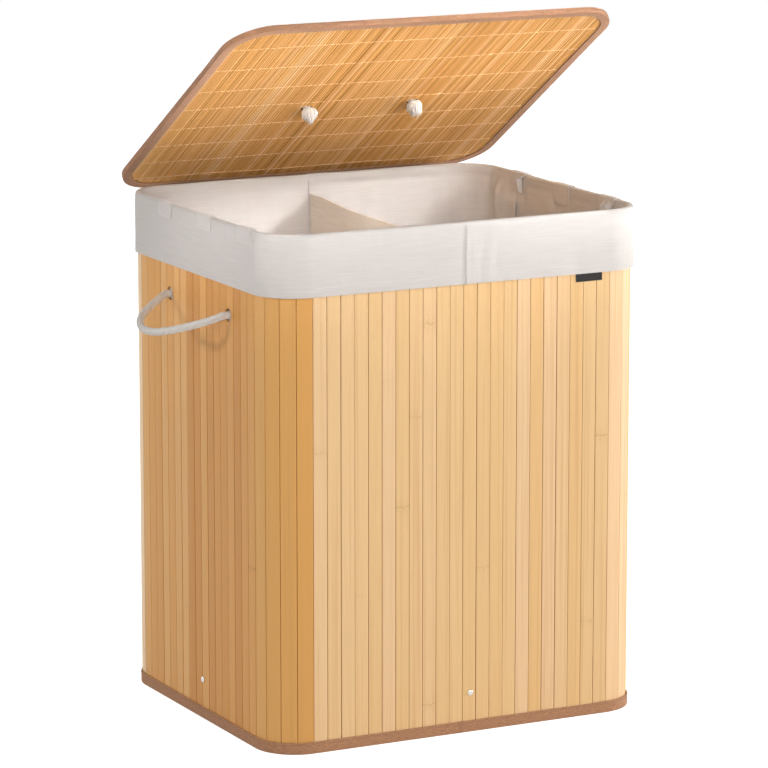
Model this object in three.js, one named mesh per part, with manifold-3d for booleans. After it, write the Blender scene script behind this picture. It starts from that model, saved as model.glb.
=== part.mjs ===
// A laundry hamper with two bins, in millimetres, +Z up, front towards -Y.
// The shell is a tambour of upright bamboo slats on a cloth backing: four flat panels and four
// corner strips, bound at the foot with tape and held square by a base panel on four straps.
// A cotton liner hangs in it, folded over the rim as a cuff and parted by a divider.
// The lid is a slat panel backed by a mat of thin sticks. A cloth strip joins its back edge to
// the back of the rim, and it swings at the seam at the strip's foot.
import * as THREE from "three";
import { mergeVertices } from "three/addons/utils/BufferGeometryUtils.js";
import Module from "manifold-3d";

const wasm = await Module();
wasm.setup();

// Overall sizes
const height = 630; // floor to the top of the folded liner
const width = 506; // over the slats, left to right
const depth = 430; // over the slats, front to back
const cornerRadius = 52;

// Clearances
const seatGap = 0.3; // between pieces that rest on each other
const cutOverrun = 1; // how far a cutter passes the face it cuts

// Slat walls
const frontSlats = 22;
const sideSlats = 17;
const cornerSlats = 4;
const slatThickness = 2.2;
const backingThickness = 0.6;
const slatGrooveWidth = 1.1;
const slatGrooveDepth = 1.3;
const rimDrop = 2; // the slats stop this far below the fold of the liner

// Binding tape round the foot of the slats
const footTapeHeight = 14.5;
const footTapeThickness = 1;

// Base panel, and the straps that hold it to the walls
const basePanelThickness = 3;
const basePanelGap = 0.4;
const strapWidth = 38;
const strapThickness = 1.4;
const strapRise = 72; // top of the strap above the floor
const strapReach = 58; // how far the strap runs in over the base panel
const strapJog = 10; // height over which the strap steps round the foot tape

// Rivets, one through each wall and its strap
const rivetHeight = 49;
const rivetShift = 11; // from the middle of the wall to the middle of a slat
const rivetHeadRadius = 3.8;
const rivetHeadRise = 1.5;
const rivetShankRadius = 1.7;
const rivetWasherThickness = 0.8;
const rivetSides = 12;

// Liner
const clothThickness = 1.2;
const cuffDepth = 75; // from the fold down to the hem, outside
const cuffEase = 1; // cuff to slats
const linerEase = 1.5; // liner to backing, at the rim
const linerFootEase = 6.1; // liner to backing, from the straps down
const linerTaperTop = 300;
const linerTaperFoot = 100;
const foldRound = 2.4;
const seamShift = 4; // the seams and the divider sit right of the middle
const seamGap = 0.3;
const linerCornerSteps = 5;

// Divider between the bins
const dividerThickness = 1;
const dividerDrop = 24; // its ends, below the fold
const dividerSag = 9;
const dividerWave = 5;
const dividerWaves = 1.5;
const dividerSteps = 18;

// Hook-and-loop tabs over the side rims
const tabWidth = 38;
const tabThickness = 1;
const tabOuterLeg = 17;
const tabInnerLeg = 24;
// Middles of the tabs, front to back: shares of the room on either side of the wall's middle.
const tabPlaceShares = {
  left: [-0.993, -0.208, 0.576],
  right: [-0.875, -0.09, 0.694],
};

// Bare tag tucked under the cuff
const tagWidth = 36.5;
const tagThickness = 0.4;
const tagShows = 12;
const tagTucked = 8;
const tagInset = 29.5; // from the end of the front panel to the middle of the tag

// Rope and its knots
const ropeRadius = 4.5;
const ropeSides = 8;
const ropeSteps = 20;
const ropeLift = 5.5; // from the wall to the line that the loop swings on
const knotRingRadius = 6.6;
const knotRingTilt = 28;
const knotRingSides = 6;
const knotRingSteps = 11;
const knotTail = 19;

// Rope handles on the sides
const handleDrop = 112; // from the fold of the liner down to the holes
const handleCentre = -7;
const handleSpan = 168;
const handleReach = 67;
const handleHoleRadius = 8.5;
const handleHoleSides = 16;
const handleKnotNest = 1.2; // how far a knot draws into its hole
const handleDroop = 25; // degrees below level at rest
// Route from one hole to the other: shares of half the span, and of the reach.
const handleRouteShares = [
  [1, 0],
  [0.96, 0.16],
  [0.88, 0.4],
  [0.74, 0.67],
  [0.52, 0.87],
  [0.22, 0.985],
  [-0.1, 0.965],
  [-0.4, 0.79],
  [-0.68, 0.51],
  [-0.88, 0.24],
  [-1, 0],
];

// The liner stands off the wall where the knots of a handle lie behind it.
const bulgeRadius = 50;
const bulgeFlatShare = 0.42;
const bulgeDrop = 6;
const bulgeClearance = 1.6;
const bulgeStepShares = [-1, -0.66, -0.33, 0, 0.33, 0.66, 1];

// Lid
const lidWidth = 521;
const lidDepth = 447;
const lidCornerRadius = 54;
const lidBackOverhang = 13;
const lidOpening = 32.2; // degrees above level at rest
const lidSlats = 28;
const lidSlatThickness = 2.6;
const matThickness = 2.3;
const stickPitch = 6.2;
const stickGrooveDepth = 0.9;
const stickGrooveWidth = 0.9;
const lidTapeWidth = 12;
const lidTapeThickness = 0.8;
const lidCornerSteps = 7;

// Cloth hinge at the back
const hingeDrop = 18.5; // from the fold of the liner down to the seam that the lid swings at
const hingeWidth = 380;
const hingeLeafThickness = 1;
const hingeLeafDrop = 38; // from the seam down
const hingeLeafRise = 2; // from the seam up
const hingeStripThickness = 1;
const hingeStripGap = 0.3; // ends of the strip to their seams
const hingeLidGap = 0.6; // upper seam to the lid's edge, out and down

// Rope handle on the lid, tied off in two knots underneath
const lidHandleSpan = 146;
const lidHandleFromBack = 210;
const lidHandleReach = 46;
const lidHandleHoleRadius = 5.4;
const lidHandleHoleSides = 12;
const lidHandleRouteShares = [
  [1, 0],
  [0.99, 0.26],
  [0.93, 0.55],
  [0.78, 0.8],
  [0.5, 0.95],
  [0, 1],
  [-0.5, 0.95],
  [-0.78, 0.8],
  [-0.93, 0.55],
  [-0.99, 0.26],
  [-1, 0],
];

// Sizes worked out from the ones above
const wallThickness = slatThickness + backingThickness;
const wallTop = height - rimDrop;
const handleHeight = height - handleDrop;
const hingeHeight = height - hingeDrop;
const wallFoot = footTapeThickness + seatGap;
const cuffMid = cuffEase + clothThickness / 2;
const cuffFace = cuffEase + clothThickness;
const linerMid = wallThickness + linerEase + clothThickness / 2;
const linerFootMid = wallThickness + linerFootEase + clothThickness / 2;
const knotDepth =
  2 * (ropeRadius + knotRingRadius * Math.sin(THREE.MathUtils.degToRad(knotRingTilt)));
const linerFloorFoot = basePanelThickness + strapThickness + 2 * seatGap;
const linerFloorTop = linerFloorFoot + clothThickness;
const tabTop = height + seatGap + tabThickness;
const lidUnderside = tabTop + seatGap;
const lidThickness =
  2 * lidTapeThickness + 3 * seatGap + matThickness + lidSlatThickness;
const lidBack = depth / 2 + lidBackOverhang;
const matFoot = lidUnderside + lidTapeThickness + seatGap;
const lidSlatFoot = matFoot + matThickness + seatGap;
const lidSlatTop = lidSlatFoot + lidSlatThickness;
const leafFoot = depth / 2 + cuffFace + seatGap;
const leafFace = leafFoot + hingeLeafThickness;
const hingeDepth = leafFace + seatGap + hingeStripThickness / 2;

const bamboo = new THREE.MeshStandardMaterial({ color: 0xe3bd8b, roughness: 0.5 });
const bambooSticks = new THREE.MeshStandardMaterial({ color: 0xcb9450, roughness: 0.6 });
const brownTape = new THREE.MeshStandardMaterial({ color: 0x96705a, roughness: 0.85 });
const cotton = new THREE.MeshStandardMaterial({ color: 0xe6dfda, roughness: 0.9 });
const dividerCotton = new THREE.MeshStandardMaterial({ color: 0xcdbba4, roughness: 0.9 });
const cottonRope = new THREE.MeshStandardMaterial({ color: 0xe4ded6, roughness: 0.85 });
const webbing = new THREE.MeshStandardMaterial({ color: 0x2a2624, roughness: 0.8 });
const board = new THREE.MeshStandardMaterial({ color: 0xb9a78f, roughness: 0.8 });
const steel = new THREE.MeshStandardMaterial({
  color: 0xc4c2be,
  roughness: 0.3,
  metalness: 1,
});
const tagCloth = new THREE.MeshStandardMaterial({ color: 0x24201f, roughness: 0.7 });

const hamper = new THREE.Group();

function addPiece(name, geometry, material, parent = hamper) {
  const mesh = new THREE.Mesh(geometry, material);
  mesh.name = name;
  parent.add(mesh);
  return mesh;
}

// Closed meshes to solids for cuts and joins, and back
function solidOf(geometry) {
  const bare = geometry.clone();
  bare.deleteAttribute("normal");
  bare.deleteAttribute("uv");
  const merged = mergeVertices(bare);
  return new wasm.Manifold(
    new wasm.Mesh({
      numProp: 3,
      vertProperties: new Float32Array(merged.attributes.position.array),
      triVerts: new Uint32Array(merged.index.array),
    }),
  );
}

function geometryOf(solid) {
  const { vertProperties, triVerts } = solid.getMesh();
  const geometry = new THREE.BufferGeometry();
  geometry.setAttribute("position", new THREE.BufferAttribute(vertProperties, 3));
  geometry.setIndex(new THREE.BufferAttribute(triVerts, 1));
  geometry.computeVertexNormals();
  return geometry;
}

function cut(geometry, cutters) {
  return geometryOf(
    cutters.reduce((solid, cutter) => solid.subtract(solidOf(cutter)), solidOf(geometry)),
  );
}

function joined(geometries) {
  return geometryOf(
    geometries.map(solidOf).reduce((solid, next) => solid.add(next)),
  );
}

function common(geometry, other) {
  return geometryOf(solidOf(geometry).intersect(solidOf(other)));
}

// Turns the faces of a closed mesh outwards if they point in.
function facingOut(points, faces) {
  const volume = faces.reduce((sum, [a, b, c]) => {
    const cross = new THREE.Vector3().crossVectors(points[b], points[c]);
    return sum + points[a].dot(cross);
  }, 0);
  const index = faces.flatMap(([a, b, c]) => (volume < 0 ? [a, c, b] : [a, b, c]));
  const geometry = new THREE.BufferGeometry().setFromPoints(points);
  geometry.setIndex(index);
  geometry.computeVertexNormals();
  return geometry;
}

// An upright prism over an outline of [x, y] points.
function prism(outline, foot, top) {
  const shape = new THREE.Shape(outline.map(([x, y]) => new THREE.Vector2(x, y)));
  const geometry = new THREE.ExtrudeGeometry(shape, {
    depth: top - foot,
    bevelEnabled: false,
  });
  return geometry.translate(0, 0, foot);
}

// Rounded rectangle grown by an offset, anticlockwise from the front right corner.
function roundedOutline(long, deep, radius, offset, steps) {
  const points = [];
  for (let corner = 0; corner < 4; corner++) {
    const signX = corner === 0 || corner === 1 ? 1 : -1;
    const signY = corner === 1 || corner === 2 ? 1 : -1;
    for (let step = 0; step <= steps; step++) {
      const angle = (Math.PI / 2) * (corner - 1 + step / steps);
      points.push([
        signX * (long / 2 - radius) + (radius + offset) * Math.cos(angle),
        signY * (deep / 2 - radius) + (radius + offset) * Math.sin(angle),
      ]);
    }
  }
  return points;
}

// A closed band round a rounded rectangle: its section is a list of [offset, z].
function bandAround(long, deep, radius, steps, section) {
  const rings = section.map(([offset, z]) =>
    roundedOutline(long, deep, radius, offset, steps).map(
      ([x, y]) => new THREE.Vector3(x, y, z),
    ),
  );
  const around = rings[0].length;
  const faces = [];
  for (let row = 0; row < rings.length; row++) {
    const nextRow = (row + 1) % rings.length;
    for (let step = 0; step < around; step++) {
      const next = (step + 1) % around;
      const a = row * around + step;
      const b = row * around + next;
      const c = nextRow * around + next;
      const d = nextRow * around + step;
      faces.push([a, b, c], [a, c, d]);
    }
  }
  return facingOut(rings.flat(), faces);
}

// Cloth: a grid of points on its middle surface, given half its thickness each way.
function sheet(grid, thickness) {
  const rows = grid.length;
  const columns = grid[0].length;
  const front = [];
  const back = [];
  for (let row = 0; row < rows; row++) {
    for (let column = 0; column < columns; column++) {
      const down = grid[Math.min(row + 1, rows - 1)][column]
        .clone()
        .sub(grid[Math.max(row - 1, 0)][column]);
      const across = grid[row][Math.min(column + 1, columns - 1)]
        .clone()
        .sub(grid[row][Math.max(column - 1, 0)]);
      const normal = across.cross(down).normalize().multiplyScalar(thickness / 2);
      front.push(grid[row][column].clone().add(normal));
      back.push(grid[row][column].clone().sub(normal));
    }
  }
  const at = (row, column) => row * columns + column;
  const behind = rows * columns;
  const faces = [];
  for (let row = 0; row + 1 < rows; row++) {
    for (let column = 0; column + 1 < columns; column++) {
      const [a, b] = [at(row, column), at(row, column + 1)];
      const [c, d] = [at(row + 1, column + 1), at(row + 1, column)];
      faces.push([a, b, c], [a, c, d]);
      faces.push([behind + a, behind + c, behind + b], [behind + a, behind + d, behind + c]);
    }
  }
  const edge = (a, b) => faces.push([b, a, behind + a], [b, behind + a, behind + b]);
  for (let column = 0; column + 1 < columns; column++) {
    edge(at(0, column), at(0, column + 1));
    edge(at(rows - 1, column + 1), at(rows - 1, column));
  }
  for (let row = 0; row + 1 < rows; row++) {
    edge(at(row + 1, 0), at(row, 0));
    edge(at(row, columns - 1), at(row + 1, columns - 1));
  }
  return facingOut([...front, ...back], faces);
}

// A rod of round section between two points.
function rod(from, to, radius, sides) {
  const along = to.clone().sub(from);
  const geometry = new THREE.CylinderGeometry(radius, radius, along.length(), sides);
  const turn = new THREE.Quaternion().setFromUnitVectors(
    new THREE.Vector3(0, 1, 0),
    along.clone().normalize(),
  );
  const middle = from.clone().add(to).divideScalar(2);
  return geometry.applyQuaternion(turn).translate(middle.x, middle.y, middle.z);
}

// Slat walls. Each slat is a strip with chamfered edges, so a V-groove shows between two.
function slatPanelOutline(length, count, thickness, grooveWidth, grooveDepth) {
  const pitch = length / count;
  const half = length / 2;
  const outline = [
    [half, 0],
    [-half, 0],
  ];
  for (let slat = 0; slat < count; slat++) {
    const left = -half + slat * pitch;
    outline.push(
      [left, grooveDepth - thickness],
      [left + grooveWidth / 2, -thickness],
      [left + pitch - grooveWidth / 2, -thickness],
    );
  }
  outline.push([half, grooveDepth - thickness]);
  return outline;
}

function wallPanel(length, count, reach) {
  const outline = slatPanelOutline(
    length - seamGap,
    count,
    wallThickness,
    slatGrooveWidth,
    slatGrooveDepth,
  ).map(([x, y]) => [x, y - reach + wallThickness]);
  return prism(outline, wallFoot, wallTop);
}

function hole(x, z, radius, sides, reach) {
  return rod(
    new THREE.Vector3(x, -reach - cutOverrun, z),
    new THREE.Vector3(x, -reach + wallThickness + cutOverrun, z),
    radius,
    sides,
  );
}

// The walls by the quarter turns that carry the front to them.
const walls = [
  { name: "front", turns: 0, flat: width - 2 * cornerRadius, reach: depth / 2, count: frontSlats },
  { name: "right", turns: 1, flat: depth - 2 * cornerRadius, reach: width / 2, count: sideSlats },
  { name: "back", turns: 2, flat: width - 2 * cornerRadius, reach: depth / 2, count: frontSlats },
  { name: "left", turns: 3, flat: depth - 2 * cornerRadius, reach: width / 2, count: sideSlats },
];

for (const wall of walls) {
  const cutters = [hole(rivetShift, rivetHeight, rivetShankRadius + seatGap, rivetSides, wall.reach)];
  if (wall.turns % 2) {
    // Turned to the right the panel's +x is the part's +y, and turned to the left its -y.
    const sign = wall.turns === 1 ? 1 : -1;
    for (const end of [-1, 1]) {
      const along = sign * (handleCentre + (end * handleSpan) / 2);
      cutters.push(hole(along, handleHeight, handleHoleRadius, handleHoleSides, wall.reach));
    }
  }
  const panel = addPiece(
    `slats_${wall.name}`,
    cut(wallPanel(wall.flat, wall.count, wall.reach), cutters),
    bamboo,
  );
  panel.rotation.z = (wall.turns * Math.PI) / 2;
}

// Corner strip about the centre of the corner, from the front (-y) round to the right (+x).
function cornerStripOutline() {
  const sweep = Math.PI / 2 / cornerSlats;
  const ray = (radius, step) => {
    const angle = -Math.PI / 2 + step * sweep;
    return new THREE.Vector2(radius * Math.cos(angle), radius * Math.sin(angle));
  };
  const innerRadius = cornerRadius - wallThickness / Math.cos(sweep / 2);
  const outer = [];
  for (let slat = 0; slat < cornerSlats; slat++) {
    const from = ray(cornerRadius, slat);
    const to = ray(cornerRadius, slat + 1);
    const along = to.clone().sub(from).normalize().multiplyScalar(slatGrooveWidth / 2);
    outer.push(ray(cornerRadius - slatGrooveDepth, slat), from.clone().add(along), to.sub(along));
  }
  outer.push(ray(cornerRadius - slatGrooveDepth, cornerSlats));
  const inner = [];
  for (let step = cornerSlats; step >= 0; step--) inner.push(ray(innerRadius, step));
  // The end faces stand back by half a seam from the flat panels.
  const clear = seamGap / 2;
  return [...outer, ...inner].map((p) => [Math.max(p.x, clear), Math.min(p.y, -clear)]);
}

const corners = [
  { name: "front_right", turns: 0, x: 1, y: -1 },
  { name: "back_right", turns: 1, x: 1, y: 1 },
  { name: "back_left", turns: 2, x: -1, y: 1 },
  { name: "front_left", turns: 3, x: -1, y: -1 },
];

for (const corner of corners) {
  const strip = addPiece(
    `slats_corner_${corner.name}`,
    prism(cornerStripOutline(), wallFoot, wallTop),
    bamboo,
  );
  strip.position.x = corner.x * (width / 2 - cornerRadius);
  strip.position.y = corner.y * (depth / 2 - cornerRadius);
  strip.rotation.z = (corner.turns * Math.PI) / 2;
}

// Foot tape, folded under the slats and up both faces
const footTapeOuter = seatGap + footTapeThickness;
const footTapeInner = -wallThickness - seatGap - footTapeThickness;
addPiece(
  "foot_tape",
  bandAround(width, depth, cornerRadius, cornerSlats, [
    [footTapeOuter, 0],
    [footTapeOuter, footTapeHeight],
    [seatGap, footTapeHeight],
    [seatGap, footTapeThickness],
    [footTapeInner + footTapeThickness, footTapeThickness],
    [footTapeInner + footTapeThickness, footTapeHeight],
    [footTapeInner, footTapeHeight],
    [footTapeInner, 0],
  ]),
  brownTape,
);

// Base panel, flush with the foot
addPiece(
  "base_panel",
  prism(
    roundedOutline(width, depth, cornerRadius, footTapeInner - basePanelGap, cornerSlats),
    0,
    basePanelThickness,
  ),
  board,
);

// Straps and rivets, made on the front wall and turned to each of the four
function strap(reach) {
  const onWall = -reach + wallThickness + seatGap + strapThickness / 2;
  const onTape = -reach - footTapeInner + seatGap + strapThickness / 2;
  const onBase = basePanelThickness + seatGap + strapThickness / 2;
  const path = [
    [onWall, strapRise],
    [onWall, footTapeHeight + strapJog],
    [onTape, footTapeHeight + seatGap],
    [onTape, onBase + strapThickness],
    [onTape + strapThickness, onBase],
    [onTape + strapReach, onBase],
  ];
  const grid = path.map(([y, z]) =>
    [-1, 1].map((side) => new THREE.Vector3(rivetShift + (side * strapWidth) / 2, y, z)),
  );
  const bore = rod(
    new THREE.Vector3(rivetShift, onWall - strapThickness - cutOverrun, rivetHeight),
    new THREE.Vector3(rivetShift, onWall + strapThickness + cutOverrun, rivetHeight),
    rivetShankRadius + seatGap,
    rivetSides,
  );
  return cut(sheet(grid, strapThickness), [bore]);
}

// A rivet revolved about its own axis: domed head outside, shank, and clenched end inside.
function rivet(reach) {
  const headBack = reach + seatGap;
  const washerFront = reach - wallThickness - 2 * seatGap - strapThickness;
  const dome = [];
  for (let step = 0; step <= 4; step++) {
    const angle = (Math.PI / 2) * (step / 4);
    dome.push(
      new THREE.Vector2(
        rivetHeadRadius * Math.cos(angle),
        headBack + rivetHeadRise * Math.sin(angle),
      ),
    );
  }
  dome[dome.length - 1].x = 0;
  const profile = [
    new THREE.Vector2(0, washerFront - rivetWasherThickness),
    new THREE.Vector2(rivetHeadRadius, washerFront - rivetWasherThickness),
    new THREE.Vector2(rivetHeadRadius, washerFront),
    new THREE.Vector2(rivetShankRadius, washerFront),
    new THREE.Vector2(rivetShankRadius, headBack),
    ...dome,
  ];
  const turned = new THREE.LatheGeometry(profile, rivetSides);
  return turned.rotateX(Math.PI).translate(rivetShift, 0, rivetHeight);
}

for (const wall of walls) {
  const strapPiece = addPiece(`base_strap_${wall.name}`, strap(wall.reach), webbing);
  strapPiece.rotation.z = (wall.turns * Math.PI) / 2;
  const rivetPiece = addPiece(`rivet_${wall.name}`, rivet(wall.reach), steel);
  rivetPiece.rotation.z = (wall.turns * Math.PI) / 2;
}

// Rope handles. A loop ends in two balls on the line that it swings on, clear of the
// stubs that come through the holes, and each stub is tied off in a knot inside.
function ropeLoop(halfSpan, reach, routeShares) {
  const route = routeShares.map(
    ([along, out]) => new THREE.Vector3(along * halfSpan, out * reach, 0),
  );
  const curve = new THREE.CatmullRomCurve3(route);
  const section = new THREE.Shape();
  section.absarc(0, 0, ropeRadius, 0, 2 * Math.PI);
  const tube = new THREE.ExtrudeGeometry(section, {
    steps: ropeSteps,
    curveSegments: ropeSides / 2,
    extrudePath: curve,
  });
  const balls = [-1, 1].map((end) =>
    new THREE.SphereGeometry(ropeRadius, ropeSides + 2, ropeSides - 2).translate(
      end * halfSpan,
      0,
      0,
    ),
  );
  return joined([tube, ...balls]);
}

// A knot along +z from z = 0, on a stub that reaches down to the given depth, with its tail
// hanging towards -y.
function ropeKnot(stub) {
  const middle = knotDepth / 2;
  const rings = [-1, 1].map((side) =>
    new THREE.TorusGeometry(knotRingRadius, ropeRadius, knotRingSides, knotRingSteps)
      .rotateX((side * knotRingTilt * Math.PI) / 180)
      .translate(0, 0, middle),
  );
  const core = rod(
    new THREE.Vector3(0, 0, -stub),
    new THREE.Vector3(0, 0, middle),
    ropeRadius,
    ropeSides,
  );
  const tail = rod(
    new THREE.Vector3(0, 0, middle),
    new THREE.Vector3(0, -knotTail, middle),
    ropeRadius,
    ropeSides,
  );
  return joined([...rings, core, tail]);
}

for (const side of [-1, 1]) {
  const sideName = side < 0 ? "left" : "right";
  const face = width / 2;
  const swing = new THREE.Group();
  swing.position.set(side * (face + ropeLift), handleCentre, handleHeight);
  // The loop's own x runs along the wall and its y outwards.
  const outward = new THREE.Vector3(
    side * Math.cos(THREE.MathUtils.degToRad(handleDroop)),
    0,
    -Math.sin(THREE.MathUtils.degToRad(handleDroop)),
  );
  const along = new THREE.Vector3(0, 1, 0);
  const across = new THREE.Vector3().crossVectors(along, outward);
  swing.quaternion.setFromRotationMatrix(
    new THREE.Matrix4().makeBasis(along, outward, across),
  );
  hamper.add(swing);
  addPiece(
    `handle_${sideName}_loop`,
    ropeLoop(handleSpan / 2, handleReach, handleRouteShares),
    cottonRope,
    swing,
  );
  for (const end of [-1, 1]) {
    const knotFoot = handleKnotNest - seatGap;
    const stub = wallThickness - knotFoot + (ropeLift - ropeRadius - seatGap);
    const knot = addPiece(
      `handle_${sideName}_knot_${end < 0 ? "front" : "back"}`,
      ropeKnot(stub),
      cottonRope,
    );
    const inward = new THREE.Vector3(-side, 0, 0);
    const up = new THREE.Vector3(0, 0, 1);
    knot.quaternion.setFromRotationMatrix(
      new THREE.Matrix4().makeBasis(new THREE.Vector3().crossVectors(up, inward), up, inward),
    );
    knot.position.set(
      side * (face - wallThickness + knotFoot),
      handleCentre + (end * handleSpan) / 2,
      handleHeight,
    );
  }
}

// Liner. Its section is a list of [offset from the slats, z], from the hem outside, over
// the slats, down to the floor inside.
const bulgeHeight = handleHeight - bulgeDrop;
const linerSection = [
  [cuffMid, height - cuffDepth],
  [cuffMid, height - cuffDepth / 2],
  [cuffMid, height - foldRound],
  [cuffMid - foldRound / 4, height - foldRound / 3],
  [-wallThickness / 2, height - clothThickness / 2],
  [-linerMid + foldRound / 4, height - foldRound / 3],
  [-linerMid, height - foldRound],
  [-linerMid, (height + bulgeHeight + bulgeRadius) / 2],
  ...bulgeStepShares
    .toReversed()
    .map((share) => [-linerMid, bulgeHeight + share * bulgeRadius]),
  [-linerMid, linerTaperTop],
  [-linerFootMid, linerTaperFoot],
  [-linerFootMid, linerFloorFoot],
];

// How far the middle of the liner stands inside the slats at a height.
function linerInset(z) {
  if (z >= linerTaperTop) return linerMid;
  if (z <= linerTaperFoot) return linerFootMid;
  const share = (linerTaperTop - z) / (linerTaperTop - linerTaperFoot);
  return linerMid + share * (linerFootMid - linerMid);
}

// Extra inset over a knot: flat on top, falling away to nothing at the bulge's edge.
const bulgeInset =
  wallThickness + seatGap + knotDepth + bulgeClearance + clothThickness / 2 - linerMid;
function bulge(y, z) {
  let deepest = 0;
  for (const end of [-1, 1]) {
    const away = Math.hypot(y - handleCentre - (end * handleSpan) / 2, z - bulgeHeight);
    const share = (away / bulgeRadius - bulgeFlatShare) / (1 - bulgeFlatShare);
    const clamped = Math.min(Math.max(share, 0), 1);
    deepest = Math.max(deepest, 0.5 + 0.5 * Math.cos(Math.PI * clamped));
  }
  return deepest * bulgeInset;
}

// Stations round half of the shell, from the front seam to the back seam. Each has the
// point on the slats, the way out of the shell, and whether the handle side lies there.
function halfRound(side) {
  const stations = [];
  const seam = seamShift + (side * seamGap) / 2;
  const cornerX = side * (width / 2 - cornerRadius);
  const cornerY = depth / 2 - cornerRadius;
  const flatSteps = 3;
  for (const end of [-1, 1]) {
    const flat = [];
    for (let step = 0; step < flatSteps; step++) {
      const x = seam + ((cornerX - seam) * step) / flatSteps;
      flat.push({ x, y: (end * depth) / 2, outX: 0, outY: end });
    }
    for (let step = 0; step <= linerCornerSteps; step++) {
      const angle = (Math.PI / 2) * (step / linerCornerSteps);
      const outX = side * Math.sin(angle);
      const outY = end * Math.cos(angle);
      const x = cornerX + cornerRadius * outX;
      flat.push({ x, y: end * cornerY + cornerRadius * outY, outX, outY });
    }
    if (end < 0) {
      stations.push(...flat);
      const places = [-1, 1].flatMap((knot) =>
        bulgeStepShares.map((share) => handleCentre + (knot * handleSpan) / 2 + share * bulgeRadius),
      );
      places.push(handleCentre);
      for (const y of places.sort((a, b) => a - b)) {
        if (Math.abs(y) < cornerY - seamGap)
          stations.push({ x: (side * width) / 2, y, outX: side, outY: 0, handle: true });
      }
    } else {
      stations.push(...flat.reverse());
    }
  }
  return stations;
}

function linerHalf(side) {
  const stations = halfRound(side);
  const grid = linerSection.map(([offset, z]) =>
    stations.map(({ x, y, outX, outY, handle }) => {
      const inside = offset < -wallThickness;
      const inset = inside ? linerInset(z) + (handle ? bulge(y, z) : 0) : -offset;
      return new THREE.Vector3(x - outX * inset, y - outY * inset, z);
    }),
  );
  return sheet(grid, clothThickness);
}

addPiece("liner_left", linerHalf(-1), cotton);
addPiece("liner_right", linerHalf(1), cotton);
addPiece(
  "liner_floor",
  prism(
    roundedOutline(
      width,
      depth,
      cornerRadius,
      -linerFootMid - clothThickness / 2 - seatGap,
      linerCornerSteps,
    ),
    linerFloorFoot,
    linerFloorTop,
  ),
  cotton,
);

// Divider: sewn in at the seams, sagging between them and waved across its width
function divider() {
  const foot = linerFloorTop + seatGap;
  const levels = [foot, linerTaperFoot, (linerTaperFoot + linerTaperTop) / 2, linerTaperTop];
  levels.push((linerTaperTop + height - dividerDrop) / 2, height - dividerDrop);
  const grid = levels.map((level) => {
    const inner = depth / 2 - linerInset(level) - clothThickness / 2 - seatGap;
    const rise = (level - foot) / (height - dividerDrop - foot);
    const row = [];
    for (let step = 0; step <= dividerSteps; step++) {
      const share = step / dividerSteps;
      const belly = Math.sin(Math.PI * share);
      const wave = Math.sin(2 * Math.PI * dividerWaves * share + Math.PI * rise);
      row.push(
        new THREE.Vector3(
          seamShift + dividerWave * belly * wave * rise,
          -inner + 2 * inner * share,
          level - dividerSag * belly * rise,
        ),
      );
    }
    return row;
  });
  return sheet(grid, dividerThickness);
}
addPiece("liner_divider", divider(), dividerCotton);

// Hook-and-loop tabs, folded over the rim at each side
function tab(side, centre) {
  const outer = cuffFace + seatGap + tabThickness / 2;
  const inner = -linerMid - clothThickness / 2 - seatGap - tabThickness / 2;
  const top = height + seatGap + tabThickness / 2;
  const shoulder = height - foldRound / 2;
  const path = [
    [outer, height - tabOuterLeg],
    [outer, shoulder],
    [outer - foldRound / 3, top],
    [inner + foldRound / 3, top],
    [inner, shoulder],
    [inner, height - tabInnerLeg],
  ];
  const grid = path.map(([offset, z]) =>
    [-1, 1].map(
      (end) =>
        new THREE.Vector3(side * (width / 2 + offset), centre + (end * tabWidth) / 2, z),
    ),
  );
  return sheet(grid, tabThickness);
}

const tabRoom = (depth - tabWidth) / 2 - cornerRadius;
for (const side of [-1, 1]) {
  const sideName = side < 0 ? "left" : "right";
  ["front", "middle", "back"].forEach((place, index) => {
    const centre = tabPlaceShares[sideName][index] * tabRoom;
    addPiece(`rim_tab_${sideName}_${place}`, tab(side, centre), cotton);
  });
}

// Tag: a bare strip tucked up between the cuff and the slats
const tagFace = depth / 2 + seatGap;
const tagCentre = width / 2 - cornerRadius - tagInset;
const tagGrid = [height - cuffDepth + tagTucked, height - cuffDepth - tagShows].map((z) =>
  [-1, 1].map(
    (end) =>
      new THREE.Vector3(
        tagCentre + (end * tagWidth) / 2,
        -tagFace - tagThickness / 2,
        z,
      ),
  ),
);
addPiece("tag", sheet(tagGrid, tagThickness), tagCloth);

// Cloth hinge: a leaf sewn to the back of the cuff, just past the seam
addPiece(
  "hinge_leaf",
  prism(
    [
      [-hingeWidth / 2, leafFoot],
      [hingeWidth / 2, leafFoot],
      [hingeWidth / 2, leafFace],
      [-hingeWidth / 2, leafFace],
    ],
    hingeHeight - hingeLeafDrop,
    hingeHeight + hingeLeafRise,
  ),
  cotton,
);

// The lid is drawn closed, in a frame with its origin on the seam, and swung open.
const lidSwing = new THREE.Group();
lidSwing.position.set(0, hingeDepth, hingeHeight);
lidSwing.rotation.x = -THREE.MathUtils.degToRad(lidOpening);
hamper.add(lidSwing);
const closedLid = new THREE.Group();
closedLid.position.set(0, -hingeDepth, -hingeHeight);
lidSwing.add(closedLid);

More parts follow.
